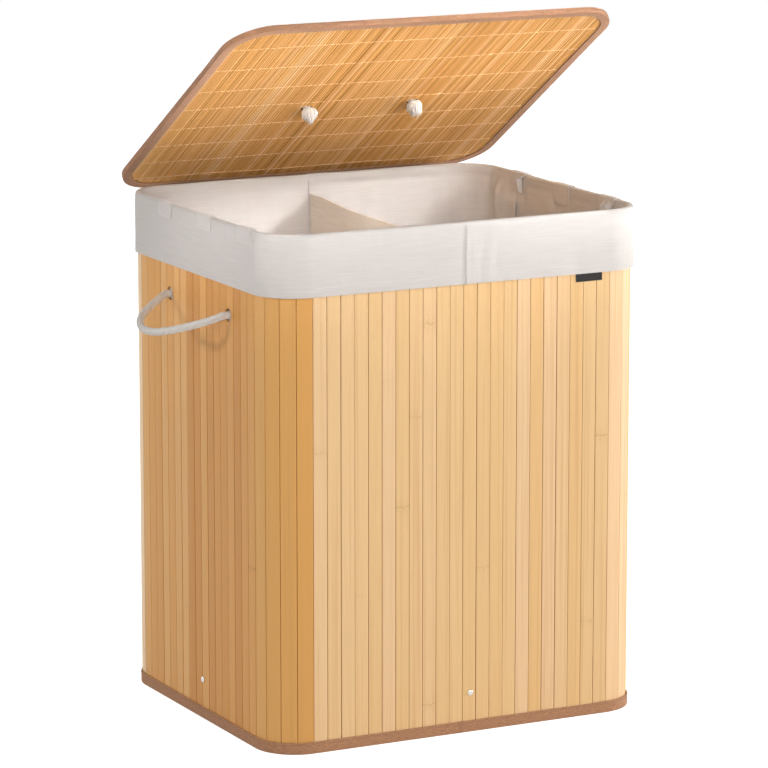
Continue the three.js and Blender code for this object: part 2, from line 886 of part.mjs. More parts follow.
// Strip of the hinge, from the seam to the back edge of the lid
const upperSeam = new THREE.Vector2(lidBack + hingeLidGap, lidUnderside - hingeLidGap);
const lowerSeam = new THREE.Vector2(hingeDepth, hingeHeight);
const stripWay = upperSeam.clone().sub(lowerSeam).normalize();
const stripEnds = [
  lowerSeam.clone().addScaledVector(stripWay, hingeStripGap),
  upperSeam.clone().addScaledVector(stripWay, -hingeStripGap),
];
const stripGrid = stripEnds.map((seam) =>
  [-1, 1].map((end) => new THREE.Vector3((end * hingeWidth) / 2, seam.x, seam.y)),
);
addPiece("hinge_strip", sheet(stripGrid, hingeStripThickness), cotton, closedLid);

// Lid panels, about the middle of the lid
const lidMiddle = lidBack - lidDepth / 2;
const lidInside = -lidTapeThickness - seatGap;
const lidPanelWidth = lidWidth + 2 * lidInside;
const lidPlate = prism(
  roundedOutline(lidWidth, lidDepth, lidCornerRadius, lidInside, lidCornerSteps),
  -lidThickness,
  lidThickness,
);
const lidHandlePlace = lidBack - lidHandleFromBack - lidMiddle;
const lidHandleHoles = [-1, 1].map((end) =>
  rod(
    new THREE.Vector3((end * lidHandleSpan) / 2, lidHandlePlace, -lidThickness),
    new THREE.Vector3((end * lidHandleSpan) / 2, lidHandlePlace, lidThickness),
    lidHandleHoleRadius,
    lidHandleHoleSides,
  ),
);

// A grooved plate: the outline runs across the lid and is drawn out front to back, then
// turned so that its grooves face down (1) or up (-1).
function groovedPlate(count, thickness, grooveWidth, grooveDepth, facing) {
  const outline = slatPanelOutline(lidPanelWidth, count, thickness, grooveWidth, grooveDepth);
  const long = prism(outline, -lidDepth / 2, lidDepth / 2).rotateX((facing * Math.PI) / 2);
  return cut(common(long, lidPlate), lidHandleHoles);
}

const stickCount = Math.round(lidPanelWidth / stickPitch);
const mat = addPiece(
  "lid_stick_mat",
  groovedPlate(stickCount, matThickness, stickGrooveWidth, stickGrooveDepth, 1),
  bambooSticks,
  closedLid,
);
mat.position.set(0, lidMiddle, matFoot + matThickness);
const topSlats = addPiece(
  "lid_slats",
  groovedPlate(lidSlats, lidSlatThickness, slatGrooveWidth, slatGrooveDepth, -1),
  bamboo,
  closedLid,
);
topSlats.position.set(0, lidMiddle, lidSlatFoot);

// Tape round the edge of the lid, folded over both faces
const lidTape = addPiece(
  "lid_tape",
  bandAround(lidWidth, lidDepth, lidCornerRadius, lidCornerSteps, [
    [0, 0],
    [0, lidThickness],
    [-lidTapeWidth, lidThickness],
    [-lidTapeWidth, lidThickness - lidTapeThickness],
    [-lidTapeThickness, lidThickness - lidTapeThickness],
    [-lidTapeThickness, lidTapeThickness],
    [-lidTapeWidth, lidTapeThickness],
    [-lidTapeWidth, 0],
  ]),
  brownTape,
  closedLid,
);
lidTape.position.set(0, lidMiddle, lidUnderside);

// Rope handle of the lid, lying towards the hinge
const lidLoop = addPiece(
  "lid_handle_loop",
  ropeLoop(lidHandleSpan / 2, lidHandleReach, lidHandleRouteShares),
  cottonRope,
  closedLid,
);
lidLoop.position.set(0, lidMiddle + lidHandlePlace, lidSlatTop + ropeLift);
for (const end of [-1, 1]) {
  const stub = lidSlatTop - matFoot + seatGap + (ropeLift - ropeRadius - seatGap);
  const knot = addPiece(
    `lid_knot_${end < 0 ? "left" : "right"}`,
    ropeKnot(stub),
    cottonRope,
    closedLid,
  );
  knot.rotation.x = Math.PI;
  knot.position.set(
    (end * lidHandleSpan) / 2,
    lidMiddle + lidHandlePlace,
    matFoot - seatGap,
  );
}

export default hamper;
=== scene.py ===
# %% [markdown]
# # A laundry hamper with two bins
#
# The hamper is a rounded box of upright bamboo slats glued on cloth, with a cotton liner folded
# over its rim, a divider, a slatted lid on a cloth hinge and three rope handles. The CAD model
# gives every size. This lesson dresses it: each plain solid is replaced with a piece that has the
# finer form of the real one, and each finish is built from shader nodes, with no pictures.
#
# All sizes below are in millimetres, as on a workshop drawing, and the factor MM turns them into
# Blender's metres.

# %% Load the frame
import math

import bmesh
import bpy
import numpy as np
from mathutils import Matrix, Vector


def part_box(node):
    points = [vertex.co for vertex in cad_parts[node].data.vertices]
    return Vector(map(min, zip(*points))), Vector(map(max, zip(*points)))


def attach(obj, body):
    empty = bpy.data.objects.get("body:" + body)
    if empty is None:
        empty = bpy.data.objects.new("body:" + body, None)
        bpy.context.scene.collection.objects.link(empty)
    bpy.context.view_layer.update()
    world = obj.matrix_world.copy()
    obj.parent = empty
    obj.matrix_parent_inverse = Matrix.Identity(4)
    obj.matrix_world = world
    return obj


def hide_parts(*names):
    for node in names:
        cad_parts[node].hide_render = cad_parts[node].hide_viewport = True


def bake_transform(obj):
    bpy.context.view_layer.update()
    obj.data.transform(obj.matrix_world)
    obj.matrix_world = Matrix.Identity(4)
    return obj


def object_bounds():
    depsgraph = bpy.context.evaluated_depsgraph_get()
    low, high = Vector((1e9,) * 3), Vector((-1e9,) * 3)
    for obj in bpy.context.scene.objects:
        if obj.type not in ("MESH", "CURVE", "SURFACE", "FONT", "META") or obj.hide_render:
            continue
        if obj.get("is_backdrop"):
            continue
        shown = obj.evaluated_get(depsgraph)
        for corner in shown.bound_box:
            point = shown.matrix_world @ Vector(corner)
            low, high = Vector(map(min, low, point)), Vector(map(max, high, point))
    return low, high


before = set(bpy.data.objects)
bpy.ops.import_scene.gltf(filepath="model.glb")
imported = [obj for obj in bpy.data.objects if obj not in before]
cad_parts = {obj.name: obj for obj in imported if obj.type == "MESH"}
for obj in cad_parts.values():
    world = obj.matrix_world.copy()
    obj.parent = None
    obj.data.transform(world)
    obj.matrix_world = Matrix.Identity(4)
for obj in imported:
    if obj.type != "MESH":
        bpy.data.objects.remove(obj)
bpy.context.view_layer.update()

MM = 0.001

# %% [markdown]
# ## The sizes that the pieces share
#
# The frame knows where each CAD node lies, so the main sizes are read from the nodes' boxes. The
# rest are the same named values that the CAD source has. A rounded rectangle comes back in many
# pieces: the walls, the tapes, the liner and the lid all follow one. A walk round it by distance
# gives a point and the way out at that point, which is what a piece that wraps the shell needs.

# %% Sizes and the walk round the shell
wall_low, wall_high = (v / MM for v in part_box("slats_front"))
SHELL_DEEP = -2 * wall_low.y
SHELL_LONG = 2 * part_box("slats_right")[1].x / MM
WALL_FOOT, WALL_TOP = wall_low.z, wall_high.z
RIM = 630.0
CORNER = 52.0
SLAT_THICK, WALL_THICK = 2.2, 2.8
SEAM_X = 4.0
HANDLE_Y, HANDLE_Z, HANDLE_SPAN = -7.0, 518.0, 168.0


def round_length(outline):
    """The way round a rounded rectangle of (length, depth, corner radius)."""
    long, deep, radius = outline
    return 2 * (long + deep) - 8 * radius + 2 * math.pi * radius


def walk(outline, distance):
    """Points and ways out after walking that far from the middle of the front, to the right."""
    long, deep, radius = outline
    quarter = math.pi / 2 * radius
    in_x, in_y = long / 2 - radius, deep / 2 - radius
    flats = [
        (in_x, (0, -deep / 2), (1, 0), (0, -1), (in_x, -in_y)),
        (2 * in_y, (long / 2, -in_y), (0, 1), (1, 0), (in_x, in_y)),
        (2 * in_x, (in_x, deep / 2), (-1, 0), (0, 1), (-in_x, in_y)),
        (2 * in_y, (-long / 2, in_y), (0, -1), (-1, 0), (-in_x, -in_y)),
        (in_x, (-in_x, -deep / 2), (1, 0), (0, -1), None),
    ]
    gone = np.mod(np.asarray(distance, float), round_length(outline))
    points, out = np.zeros((len(gone), 2)), np.zeros((len(gone), 2))
    at = 0.0
    for turn, (flat, start, way, outward, centre) in enumerate(flats):
        here = (gone >= at) & (gone <= at + flat)
        points[here] = np.array(start) + np.outer(gone[here] - at, way)
        out[here] = outward
        at += flat
        if centre:
            here = (gone > at) & (gone < at + quarter)
            angle = (gone[here] - at) / radius + (turn - 1) * math.pi / 2
            out[here] = np.stack([np.cos(angle), np.sin(angle)], 1)
            points[here] = np.array(centre) + radius * out[here]
            at += quarter
    return points, out


SHELL = (SHELL_LONG, SHELL_DEEP, CORNER)
AROUND = round_length(SHELL)
print("shell", round(SHELL_LONG, 1), "x", round(SHELL_DEEP, 1), "and", round(AROUND), "round")

# %% [markdown]
# ## The camera
#
# The photograph was matched with a long lens, 27 degrees to the left of the front and
# 11 degrees above level. It comes first, so that every later piece can be looked at from there.

# %% Camera
camera_data = bpy.data.cameras.new("camera")
camera_data.sensor_width = 36
camera_data.lens = 202.93
camera = bpy.data.objects.new("camera", camera_data)
bpy.context.scene.collection.objects.link(camera)
CAMERA_TURN, CAMERA_LIFT = math.radians(-27.116), math.radians(11.299)
CAMERA_FAR = 5.4025
level, high = math.cos(CAMERA_LIFT), math.sin(CAMERA_LIFT)
back = Vector((math.sin(CAMERA_TURN) * level, -math.cos(CAMERA_TURN) * level, high))
facing = (-back).to_track_quat("-Z", "Y")
right, up = facing @ Vector((1, 0, 0)), facing @ Vector((0, 1, 0))
aim = Vector((0, 0, 0.315)) + 0.002608 * right + 0.078433 * up
camera.rotation_mode = "QUATERNION"
camera.location = aim + CAMERA_FAR * back
camera.rotation_quaternion = facing
camera_data.clip_start, camera_data.clip_end = 0.05, 50
bpy.context.scene.camera = camera
print("camera at", [round(v, 3) for v in camera.location])

# %% [markdown]
# ## How a piece is made
#
# A piece starts as a list of points and faces. It could also be sculpted or made with modifiers,
# but slats, ribs and cloth follow rules, and rules are shortest in code. Each point also carries
# marks for its material: how far across the strip it is, how far along, and a number that is the
# piece's own. They do the work of a UV map, and let every slat have its own tone.

# %% Meshes from points and faces
def xyz(x, y, z):
    """Triples from three values, each a number or an array."""
    return np.stack(np.broadcast_arrays(x, y, z), -1)


def write_marks(mesh, marks):
    """Writes the marks of all points, in place of any that the mesh has."""
    old = mesh.attributes.get("marks")
    if old:
        mesh.attributes.remove(old)
    made = mesh.attributes.new("marks", "FLOAT_VECTOR", "POINT")
    made.data.foreach_set("vector", np.asarray(marks, np.float32).ravel())


def smooth(mesh, sharp):
    mesh.polygons.foreach_set("use_smooth", [True] * len(mesh.polygons))
    mesh.set_sharp_from_angle(angle=math.radians(sharp))


def mesh_object(name, made, materials, sharp=38, kinds=None, move=None):
    """An object from (points, faces, marks); move carries the points to where the piece lies."""
    points, faces, marks = made
    if move:
        points = move(points)
    mesh = bpy.data.meshes.new(name)
    mesh.from_pydata((np.asarray(points, float) * MM).tolist(), [], [list(f) for f in faces])
    write_marks(mesh, marks)
    for material in materials:
        mesh.materials.append(material)
    if kinds:
        mesh.polygons.foreach_set("material_index", kinds)
    work = bmesh.new()
    work.from_mesh(mesh)
    bmesh.ops.recalc_face_normals(work, faces=work.faces)
    work.to_mesh(mesh)
    work.free()
    smooth(mesh, sharp)
    made_object = bpy.data.objects.new(name, mesh)
    bpy.context.scene.collection.objects.link(made_object)
    return made_object


def dress(piece, body, slot, *nodes):
    """The piece rides on a body and stands for CAD nodes; slot is not used."""
    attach(piece, body)
    if nodes:
        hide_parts(*nodes)
    print(piece.name, len(piece.data.polygons), "faces")


def add_piece(name, made, material, body, slot, *nodes, sharp=38, move=None):
    piece = mesh_object(name, made, [material], sharp, move=move)
    dress(piece, body, slot, *nodes)
    return piece


def merged(parts):
    """One (points, faces, marks) from several."""
    points, faces, marks, start = [], [], [], 0
    for part_points, part_faces, part_marks in parts:
        points.append(part_points)
        marks.append(part_marks)
        faces += [[i + start for i in face] for face in part_faces]
        start += len(part_points)
    return np.concatenate(points), faces, np.concatenate(marks)


def grid_faces(rows, columns, closed=False, capped=False, looped=False):
    """Faces of a grid of points: closed joins its sides, looped its ends, and capped fills them."""
    faces = []
    for row in range(rows if looped else rows - 1):
        here, there = row * columns, (row + 1) % rows * columns
        for column in range(columns if closed else columns - 1):
            after = (column + 1) % columns
            faces.append((here + column, here + after, there + after, there + column))
    if capped:
        faces.append(list(range(columns))[::-1])
        faces.append([(rows - 1) * columns + i for i in range(columns)])
    return faces


def swept(points, marks, capped=True):
    """(points, faces, marks) of a closed section in many places, from lists of both.

    Capped fills the two ends; otherwise the last place joins the first."""
    faces = grid_faces(len(points), len(points[0]), closed=True, capped=capped, looped=not capped)
    return np.concatenate(points), faces, np.concatenate(marks)


# %% Even steps, hills, bumps and eases
def even(low, high, step):
    """Places from low to high, about a step apart."""
    return np.linspace(low, high, max(2, int(round(abs(high - low) / step)) + 1))


def hills(u, v, seed, cell_u, cell_v):
    """Smooth random heights from -1 to 1, with hills of about that size."""
    table = np.random.default_rng(seed).uniform(-1, 1, (64, 64))
    a, b = np.asarray(u, float) / cell_u, np.asarray(v, float) / cell_v
    i, j = np.floor(a).astype(int), np.floor(b).astype(int)
    f, g = a - i, b - j
    f, g = f * f * (3 - 2 * f), g * g * (3 - 2 * g)
    corner = lambda p, q: table[(i + p) % 64, (j + q) % 64]
    near = corner(0, 0) * (1 - g) + corner(0, 1) * g
    far = corner(1, 0) * (1 - g) + corner(1, 1) * g
    return near * (1 - f) + far * f


def bump(value, centre, spread):
    """1 at the centre, falling off on both sides."""
    return np.exp(-(((value - centre) / spread) ** 2))


def ease(value, start, end):
    """0 before the start, 1 after the end, and a smooth step between them."""
    share = np.clip((value - start) / (end - start), 0, 1)
    return share * share * (3 - 2 * share)


# %% [markdown]
# ## Tubes
#
# Ropes, threads and loose yarns are all tubes along a line. A tube needs a frame that turns as
# little as possible along the line, or it looks wrung. The frame is carried from point to point
# by taking away what leans along the new direction.

# %% Tubes along a line
def along_frames(line):
    """Two ways across the line at each of its points."""
    ways = np.gradient(line, axis=0)
    ways /= np.linalg.norm(ways, axis=1)[:, None]
    side = np.cross(ways[0], [0.0, 0.0, 1.0])
    if np.linalg.norm(side) < 0.2:
        side = np.cross(ways[0], [1.0, 0.0, 0.0])
    sides = []
    for way in ways:
        side = side - (side @ way) * way
        side /= np.linalg.norm(side)
        sides.append(side)
    return np.array(sides), np.cross(ways, sides)


def walked_along(line):
    """How far each point lies along the line from its first."""
    return np.concatenate([[0], np.cumsum(np.linalg.norm(np.diff(line, axis=0), axis=1))])


def tube(line, radius, around, seed, ribs=0, rib_depth=0.0, round_ends=True):
    """(points, faces, marks) of a tube; ribs run along it, and its ends close to a point."""
    line = np.asarray(line, float)
    sides, lifts = along_frames(line)
    walked = walked_along(line)
    angle = np.arange(around) * 2 * math.pi / around
    radii = np.full(len(line), float(radius))
    if round_ends:
        from_end = np.minimum(walked, walked[-1] - walked)
        inside = np.clip(1 - from_end / radius, 0, 1)
        radii = radii * np.sqrt(np.maximum(1 - inside**2, 0.01))
    wide = radii[:, None] * (1 + rib_depth / radius * np.cos(ribs * angle))
    ways = np.cos(angle)[:, None] * sides[:, None] + np.sin(angle)[:, None] * lifts[:, None]
    points = (line[:, None] + wide[..., None] * ways).reshape(-1, 3)
    marks = xyz(angle / (2 * math.pi), walked[:, None] * MM, seed).reshape(-1, 3)
    return points, grid_faces(len(line), around, closed=True, capped=True), marks


def rounded_line(corners, step):
    """A smooth line through the corners, with a point about every step."""
    corners = np.asarray(corners, float)
    padded = np.vstack([2 * corners[0] - corners[1], corners, 2 * corners[-1] - corners[-2]])
    t = np.linspace(0, 1, 24, endpoint=False)[:, None]
    pieces = []
    for a, b, c, d in zip(padded, padded[1:], padded[2:], padded[3:]):
        bend, twist = 2 * a - 5 * b + 4 * c - d, 3 * b - a - 3 * c + d
        pieces.append(0.5 * (2 * b + (c - a) * t + bend * t**2 + twist * t**3))
    dense = np.vstack(pieces + [corners[-1:]])
    walked = walked_along(dense)
    wanted = even(0, walked[-1], step)
    return np.stack([np.interp(wanted, walked, dense[:, i]) for i in range(3)], 1)


# %% [markdown]
# ## Node helpers
#
# Shader nodes made by hand in the editor are quick to try, and slow to repeat. In code a few
# helpers make a node with its values and links in one line, so that a group reads like a sum.
# A value that comes from a node knows its tree, so the helpers need no other name for it.

# %% Node helpers
def srgb(red, green, blue):
    """A colour as read from a picture, 0 to 255, as the linear values that nodes use."""
    share = [v / 255 for v in (red, green, blue)]
    return [v / 12.92 if v <= 0.04045 else ((v + 0.055) / 1.055) ** 2.4 for v in share] + [1]


def fill(sockets, values):
    """Gives each socket its value: a number, or a link from another node."""
    for key, value in values.items():
        if isinstance(value, bpy.types.NodeSocket):
            value.id_data.links.new(value, sockets[key])
        else:
            sockets[key].default_value = value


def spaced(values):
    """Values by the labels of their sockets, from names with underscores."""
    return {key.replace("_", " "): value for key, value in values.items()}


def add_node(tree, kind, values=(), **settings):
    made = tree.nodes.new(kind)
    for name, value in settings.items():
        setattr(made, name, value)
    fill(made.inputs, dict(values))
    return made


def worked(kind, values, output=0, **settings):
    """The output of a new node, in the tree that its values come from."""
    tree = next(v.id_data for v in values.values() if isinstance(v, bpy.types.NodeSocket))
    return add_node(tree, kind, values, **settings).outputs[output]


def maths(operation, *values):
    return worked("ShaderNodeMath", dict(enumerate(values)), operation=operation)


def times(a, b):
    return maths("MULTIPLY", a, b)


def plus(a, b):
    return maths("ADD", a, b)


def from_to(value, low, high, to_low=0.0, to_high=1.0):
    return worked("ShaderNodeMapRange", {0: value, 1: low, 2: high, 3: to_low, 4: to_high})


def joined_xyz(x, y, z):
    return worked("ShaderNodeCombineXYZ", {0: x, 1: y, 2: z})


def noise(vector, scale=1.0, detail=2.0):
    values = {"Vector": vector, "Scale": scale, "Detail": detail}
    return worked("ShaderNodeTexNoise", values, "Fac")


def drawn_by(value):
    """A number from 0 to 1 drawn by the value."""
    return worked("ShaderNodeTexWhiteNoise", {"W": value}, "Value", noise_dimensions="1D")


def mixed(share, first, second):
    return worked("ShaderNodeMix", {0: share, 6: first, 7: second}, 2, data_type="RGBA")


def ramp(share, stops):
    made = add_node(share.id_data, "ShaderNodeValToRGB", {0: share})
    bar = made.color_ramp.elements
    while len(bar) < len(stops):
        bar.new(0.5)
    for element, (place, colour) in zip(bar, stops):
        element.position, element.color = place, colour
    return made.outputs[0]


# %% Groups and materials
def new_group(name, **numbers):
    """A group that reads the marks and some numbers: (tree, numbers, across, along, seed)."""
    tree = bpy.data.node_groups.new(name, "ShaderNodeTree")
    tree.interface.new_socket("Marks", in_out="INPUT", socket_type="NodeSocketVector")
    for label, value in spaced(numbers).items():
        socket = tree.interface.new_socket(label, in_out="INPUT", socket_type="NodeSocketFloat")
        socket.default_value = value
    given = tree.nodes.new("NodeGroupInput").outputs
    split = add_node(tree, "ShaderNodeSeparateXYZ", {0: given["Marks"]}).outputs
    return tree, given, split[0], split[1], split[2]


def group_gives(tree, **results):
    """Makes the group's outputs and links the results to them."""
    for label in results:
        tree.interface.new_socket(label, in_out="OUTPUT", socket_type="NodeSocketFloat")
    fill(tree.nodes.new("NodeGroupOutput").inputs, results)
    print(tree.name, len(tree.nodes), "nodes")


def place_group(shader, group, **numbers):
    """The outputs of a group, placed in the shader's tree and given the piece's marks."""
    tree = shader.id_data
    marks = add_node(tree, "ShaderNodeAttribute", attribute_name="marks").outputs["Vector"]
    values = {"Marks": marks, **spaced(numbers)}
    return add_node(tree, "ShaderNodeGroup", values, node_tree=group).outputs


def object_place(tree):
    return add_node(tree, "ShaderNodeTexCoord").outputs["Object"]


def new_material(name, roughness, **settings):
    """A material and its Principled shader."""
    material = bpy.data.materials.new(name)
    material.use_nodes = True
    shader = material.node_tree.nodes["Principled BSDF"]
    fill(shader.inputs, {"Roughness": roughness, **spaced(settings)})
    return material, shader


def raise_surface(shader, height, distance, strength=1.0):
    values = {"Height": height, "Distance": distance, "Strength": strength}
    fill(shader.inputs, {"Normal": worked("ShaderNodeBump", values)})


# %% [markdown]
# ## Bamboo
#
# A split bamboo strip has a tone of its own, fine streaks along its fibres, and every 20 to 40
# centimetres a joint, where the cane had a wall: a thin line with a faint smudge round it. The
# walls, the lid and its thin sticks all need this, so it is one group. It works in the marks'
# space, so the streaks follow each strip whichever way the strip lies.

# %% Group: bamboo grain
bamboo_grain, given, across, along, seed = new_group(
    "bamboo grain", Streaks=3.0, Joint_Spacing=0.3
)
chance, rare = drawn_by(seed), drawn_by(plus(seed, 31.7))
broad = joined_xyz(times(across, given["Streaks"]), times(along, 2.2), times(seed, 7.3))
fine_across = times(across, times(given["Streaks"], 6.0))
streak = noise(broad, 0.9, 3.0)
fibre = noise(joined_xyz(fine_across, times(along, 9.0), times(seed, 3.1)), 1.4, 3.0)
phase = plus(maths("DIVIDE", along, given["Joint Spacing"]), chance)
from_joint = times(maths("SUBTRACT", maths("FRACT", phase), 0.5), given["Joint Spacing"])
wander = times(maths("SUBTRACT", noise(broad, 2.0, 1.0), 0.5), 0.006)
near = maths("ABSOLUTE", plus(from_joint, wander))
shown = from_to(rare, 0.62, 1.1)
joint = times(from_to(near, 0.0, 0.001, 1.0, 0.0), shown)
spots = noise(joined_xyz(times(across, 4.0), times(along, 260.0), seed))
blotch = times(from_to(near, 0.0, 0.013, 1.0, 0.0), shown)
group_gives(
    bamboo_grain,
    Tone=maths("FRACT", seed),
    Streak=streak,
    Fibre=fibre,
    Joint=joint,
    Smudge=times(blotch, from_to(spots, 0.4, 0.66)),
    Height=plus(times(fibre, 0.5), plus(times(streak, 0.4), times(joint, 0.8))),
)

# %% [markdown]
# The slats are pale straw, some of them greener, pinker or more golden, under a thin satin
# lacquer. The darkest, most golden tones go only to the left wall and its corner, and they are
# painted shade for the side that the main light misses. The sticks of the mat under the lid are
# split thinner from the outside of the cane and are a deep golden brown, duller, and more uneven.

# %% Materials: bamboo slats and bamboo sticks
def bamboo_material(name, tones, dark, joint_colour, roughness, streaks, spacing, specular):
    material, shader = new_material(name, roughness, Specular_IOR_Level=specular)
    grain = place_group(shader, bamboo_grain, Streaks=streaks, Joint_Spacing=spacing)
    stops = [(i / (len(tones) - 1), srgb(*tone)) for i, tone in enumerate(tones)]
    colour = ramp(grain["Tone"], stops)
    for share, tint in (
        (from_to(grain["Streak"], 0.5, 0.74, 0.0, 0.36), dark),
        (from_to(grain["Fibre"], 0.52, 0.8, 0.0, 0.42), dark),
        (times(grain["Smudge"], 0.3), joint_colour),
        (times(grain["Joint"], 0.5), joint_colour),
    ):
        colour = mixed(share, colour, srgb(*tint))
    rough = from_to(grain["Fibre"], 0.3, 0.8, roughness - 0.06, roughness + 0.12)
    fill(shader.inputs, {"Base Color": colour, "Roughness": rough})
    raise_surface(shader, grain["Height"], 0.0004, 0.6)
    return material


# The darker, more golden low end of this ramp is painted shade: the left wall takes its tones from
# it, the front-left corner from just above it, and the other walls only from the upper part.
SLAT_TONES = [
    (212, 146, 70), (229, 168, 92), (239, 190, 126), (240, 201, 147), (244, 205, 159),
    (247, 216, 170),
]
STICK_TONES = [
    (218, 160, 86), (232, 177, 102), (240, 187, 113), (246, 194, 122), (250, 203, 136),
    (254, 216, 160),
]
slat_bamboo = bamboo_material(
    "bamboo slats", SLAT_TONES, dark=(210, 156, 98), joint_colour=(168, 112, 60),
    roughness=0.42, streaks=2.6, spacing=0.47, specular=0.16,
)
stick_bamboo = bamboo_material(
    "bamboo sticks", STICK_TONES, dark=(196, 134, 72), joint_colour=(150, 92, 42),
    roughness=0.5, streaks=1.2, spacing=0.33, specular=0.2,
)
print("materials", slat_bamboo.name, stick_bamboo.name)

# %% [markdown]
# ## Cloth
#
# Close up, cloth is a plain weave. From where the camera stands only its uneven yarns show, as
# faint streaks across the cloth, so the group gives both: the weave for the bump and for a
# painted shade along the lines between the threads, and the slubs for the bump and for the
# colour. The same group makes cotton, twill tape, webbing and the tag, with other thread sizes.

# %% Group: woven threads
woven, given, across, along, seed = new_group(
    "woven threads", Thread_Size=0.0007, Slub_Length=0.03
)
waves = [
    maths("SINE", times(maths("DIVIDE", way, given["Thread Size"]), math.pi))
    for way in (across, along)
]
weave = maths("ABSOLUTE", times(*waves))
flat_way = joined_xyz(maths("DIVIDE", across, given["Slub Length"]), times(along, 620.0), seed)
upright_way = joined_xyz(
    times(across, 520.0), maths("DIVIDE", along, given["Slub Length"]), plus(seed, 5.0)
)
slub = plus(times(noise(flat_way), 0.84), times(noise(upright_way), 0.16))
group_gives(woven, Weave=weave, Slub=slub, Height=plus(times(weave, 0.45), times(slub, 0.9)))

# %% Materials: liner cotton, divider, tapes, webbing, tag, backing
def cloth_material(name, pale, deep, roughness, thread, slub_length, rise):
    material, shader = new_material(name, roughness, Specular_IOR_Level=0.25, Sheen_Weight=0.12)
    cloth = place_group(shader, woven, Thread_Size=thread, Slub_Length=slub_length)
    colour = mixed(from_to(cloth["Slub"], 0.34, 0.7), srgb(*pale), srgb(*deep))
    # Painted shade: the cloth darkens towards its deep colour along the lines between the threads.
    colour = mixed(from_to(cloth["Weave"], 0.0, 0.5, 0.22, 0.0), colour, srgb(*deep))
    fill(shader.inputs, {"Base Color": colour})
    raise_surface(shader, cloth["Height"], rise)
    return material


# Each cloth: name, pale and deep colour, roughness, thread size, slub length, and rise.
CLOTHS = [
    ("liner cotton", (218, 212, 207), (210, 203, 197), 0.88, 0.0007, 0.045, 0.00011),
    # The divider's cotton is paler than the liner's, as painted light for the light that comes
    # through it from the right.
    ("divider cotton", (250, 239, 224), (240, 226, 208), 0.88, 0.0008, 0.04, 0.0002),
    ("brown tape", (199, 150, 113), (169, 120, 87), 0.85, 0.0012, 0.006, 0.0005),
    # The lid tape is a darker copy of the brown tape at the foot, as painted shade that offsets the
    # stronger light on the lid's edge.
    ("lid tape", (186, 139, 105), (158, 111, 80), 0.85, 0.0012, 0.006, 0.0005),
    ("black webbing", (46, 42, 40), (28, 25, 24), 0.8, 0.0017, 0.008, 0.0006),
    ("tag fabric", (44, 39, 38), (28, 24, 23), 0.72, 0.0005, 0.01, 0.0002),
    # The tab tape is whiter than the liner, and part of its paleness is painted light for the tabs
    # that catch the light inside the rim.
    ("tab tape", (226, 220, 215), (216, 208, 202), 0.9, 0.0009, 0.02, 0.0002),
    # The backing is real cloth, and its dark brown is painted shade for the gaps between the slats.
    ("slat backing", (126, 82, 42), (100, 62, 30), 0.9, 0.0009, 0.01, 0.0003),
]
made = [cloth_material(*numbers) for numbers in CLOTHS]
liner_cotton, divider_cotton, twill_tape, lid_twill, strap_webbing, tag_fabric = made[:6]
tab_tape, slat_backing = made[6:]
print("cloths", [material.name for material in made])

# %% [markdown]
# ## Cord and thread
#
# The handles are a smooth cotton cord of many fine yarns that run along it with a slow twist. A
# knot's loose ends are the same yarns, come apart. The group draws yarns round a tube and thickens
# some of them, and serves the sewing threads too.

# %% Group: twisted yarns, and the materials of cord and thread
twisted, given, across, along, seed = new_group("twisted yarns", Yarns=16.0, Twist_Length=0.12)
turns = times(plus(across, maths("DIVIDE", along, given["Twist Length"])), given["Yarns"])
yarn = from_to(maths("SINE", times(turns, 2 * math.pi)), -1.0, 1.0)
uneven = noise(joined_xyz(turns, times(along, 90.0), seed), 1.0, 3.0)
group_gives(twisted, Yarn=yarn, Uneven=uneven)


def cord_material(name, pale, deep, yarns, twist, rise):
    material, shader = new_material(name, 0.86, Specular_IOR_Level=0.25, Sheen_Weight=0.2)
    cord = place_group(shader, twisted, Yarns=yarns, Twist_Length=twist)
    # Painted shade: the cord darkens towards its deep colour in the grooves between its yarns, and
    # uneven patches of the yarn add a real tone on top.
    valley_shade = from_to(cord["Yarn"], 0.0, 0.7, 0.75, 0.0)
    shade_and_patches = maths("MAXIMUM", valley_shade, from_to(cord["Uneven"], 0.45, 0.75, 0.0, 0.6))
    fill(shader.inputs, {"Base Color": mixed(shade_and_patches, srgb(*pale), srgb(*deep))})
    raise_surface(shader, plus(cord["Yarn"], cord["Uneven"]), rise)
    return material


handle_cord = cord_material("handle cord", (248, 243, 238), (222, 211, 200), 14.0, 0.16, 0.0005)
loose_yarn = cord_material("loose yarn", (253, 251, 248), (238, 231, 223), 3.0, 0.006, 0.0002)
sewing_thread, brown_thread = (
    cord_material(name, pale, deep, 2.0, 0.002, 0.0001)
    for name, pale, deep in (
        ("sewing thread", (252, 218, 166), (236, 196, 140)),
        ("brown thread", (176, 126, 92), (140, 96, 68)),
    )
)

# %% [markdown]
# ## Steel and board
#
# A rivet is pressed from bright steel and picks up fine scratches round its dome. The base panel
# is grey board, with flecks in it. Each is used by one kind of piece, so they need no group.

# %% Materials: rivet steel and grey board
rivet_steel, shader = new_material("rivet steel", 0.28, Metallic=1.0)
scratches = noise(object_place(shader.id_data), 900.0, 4.0)
steel = mixed(scratches, srgb(214, 211, 206), srgb(176, 172, 166))
dull = from_to(scratches, 0.3, 0.7, 0.22, 0.42)
fill(shader.inputs, {"Base Color": steel, "Roughness": dull})
raise_surface(shader, scratches, 0.00003)

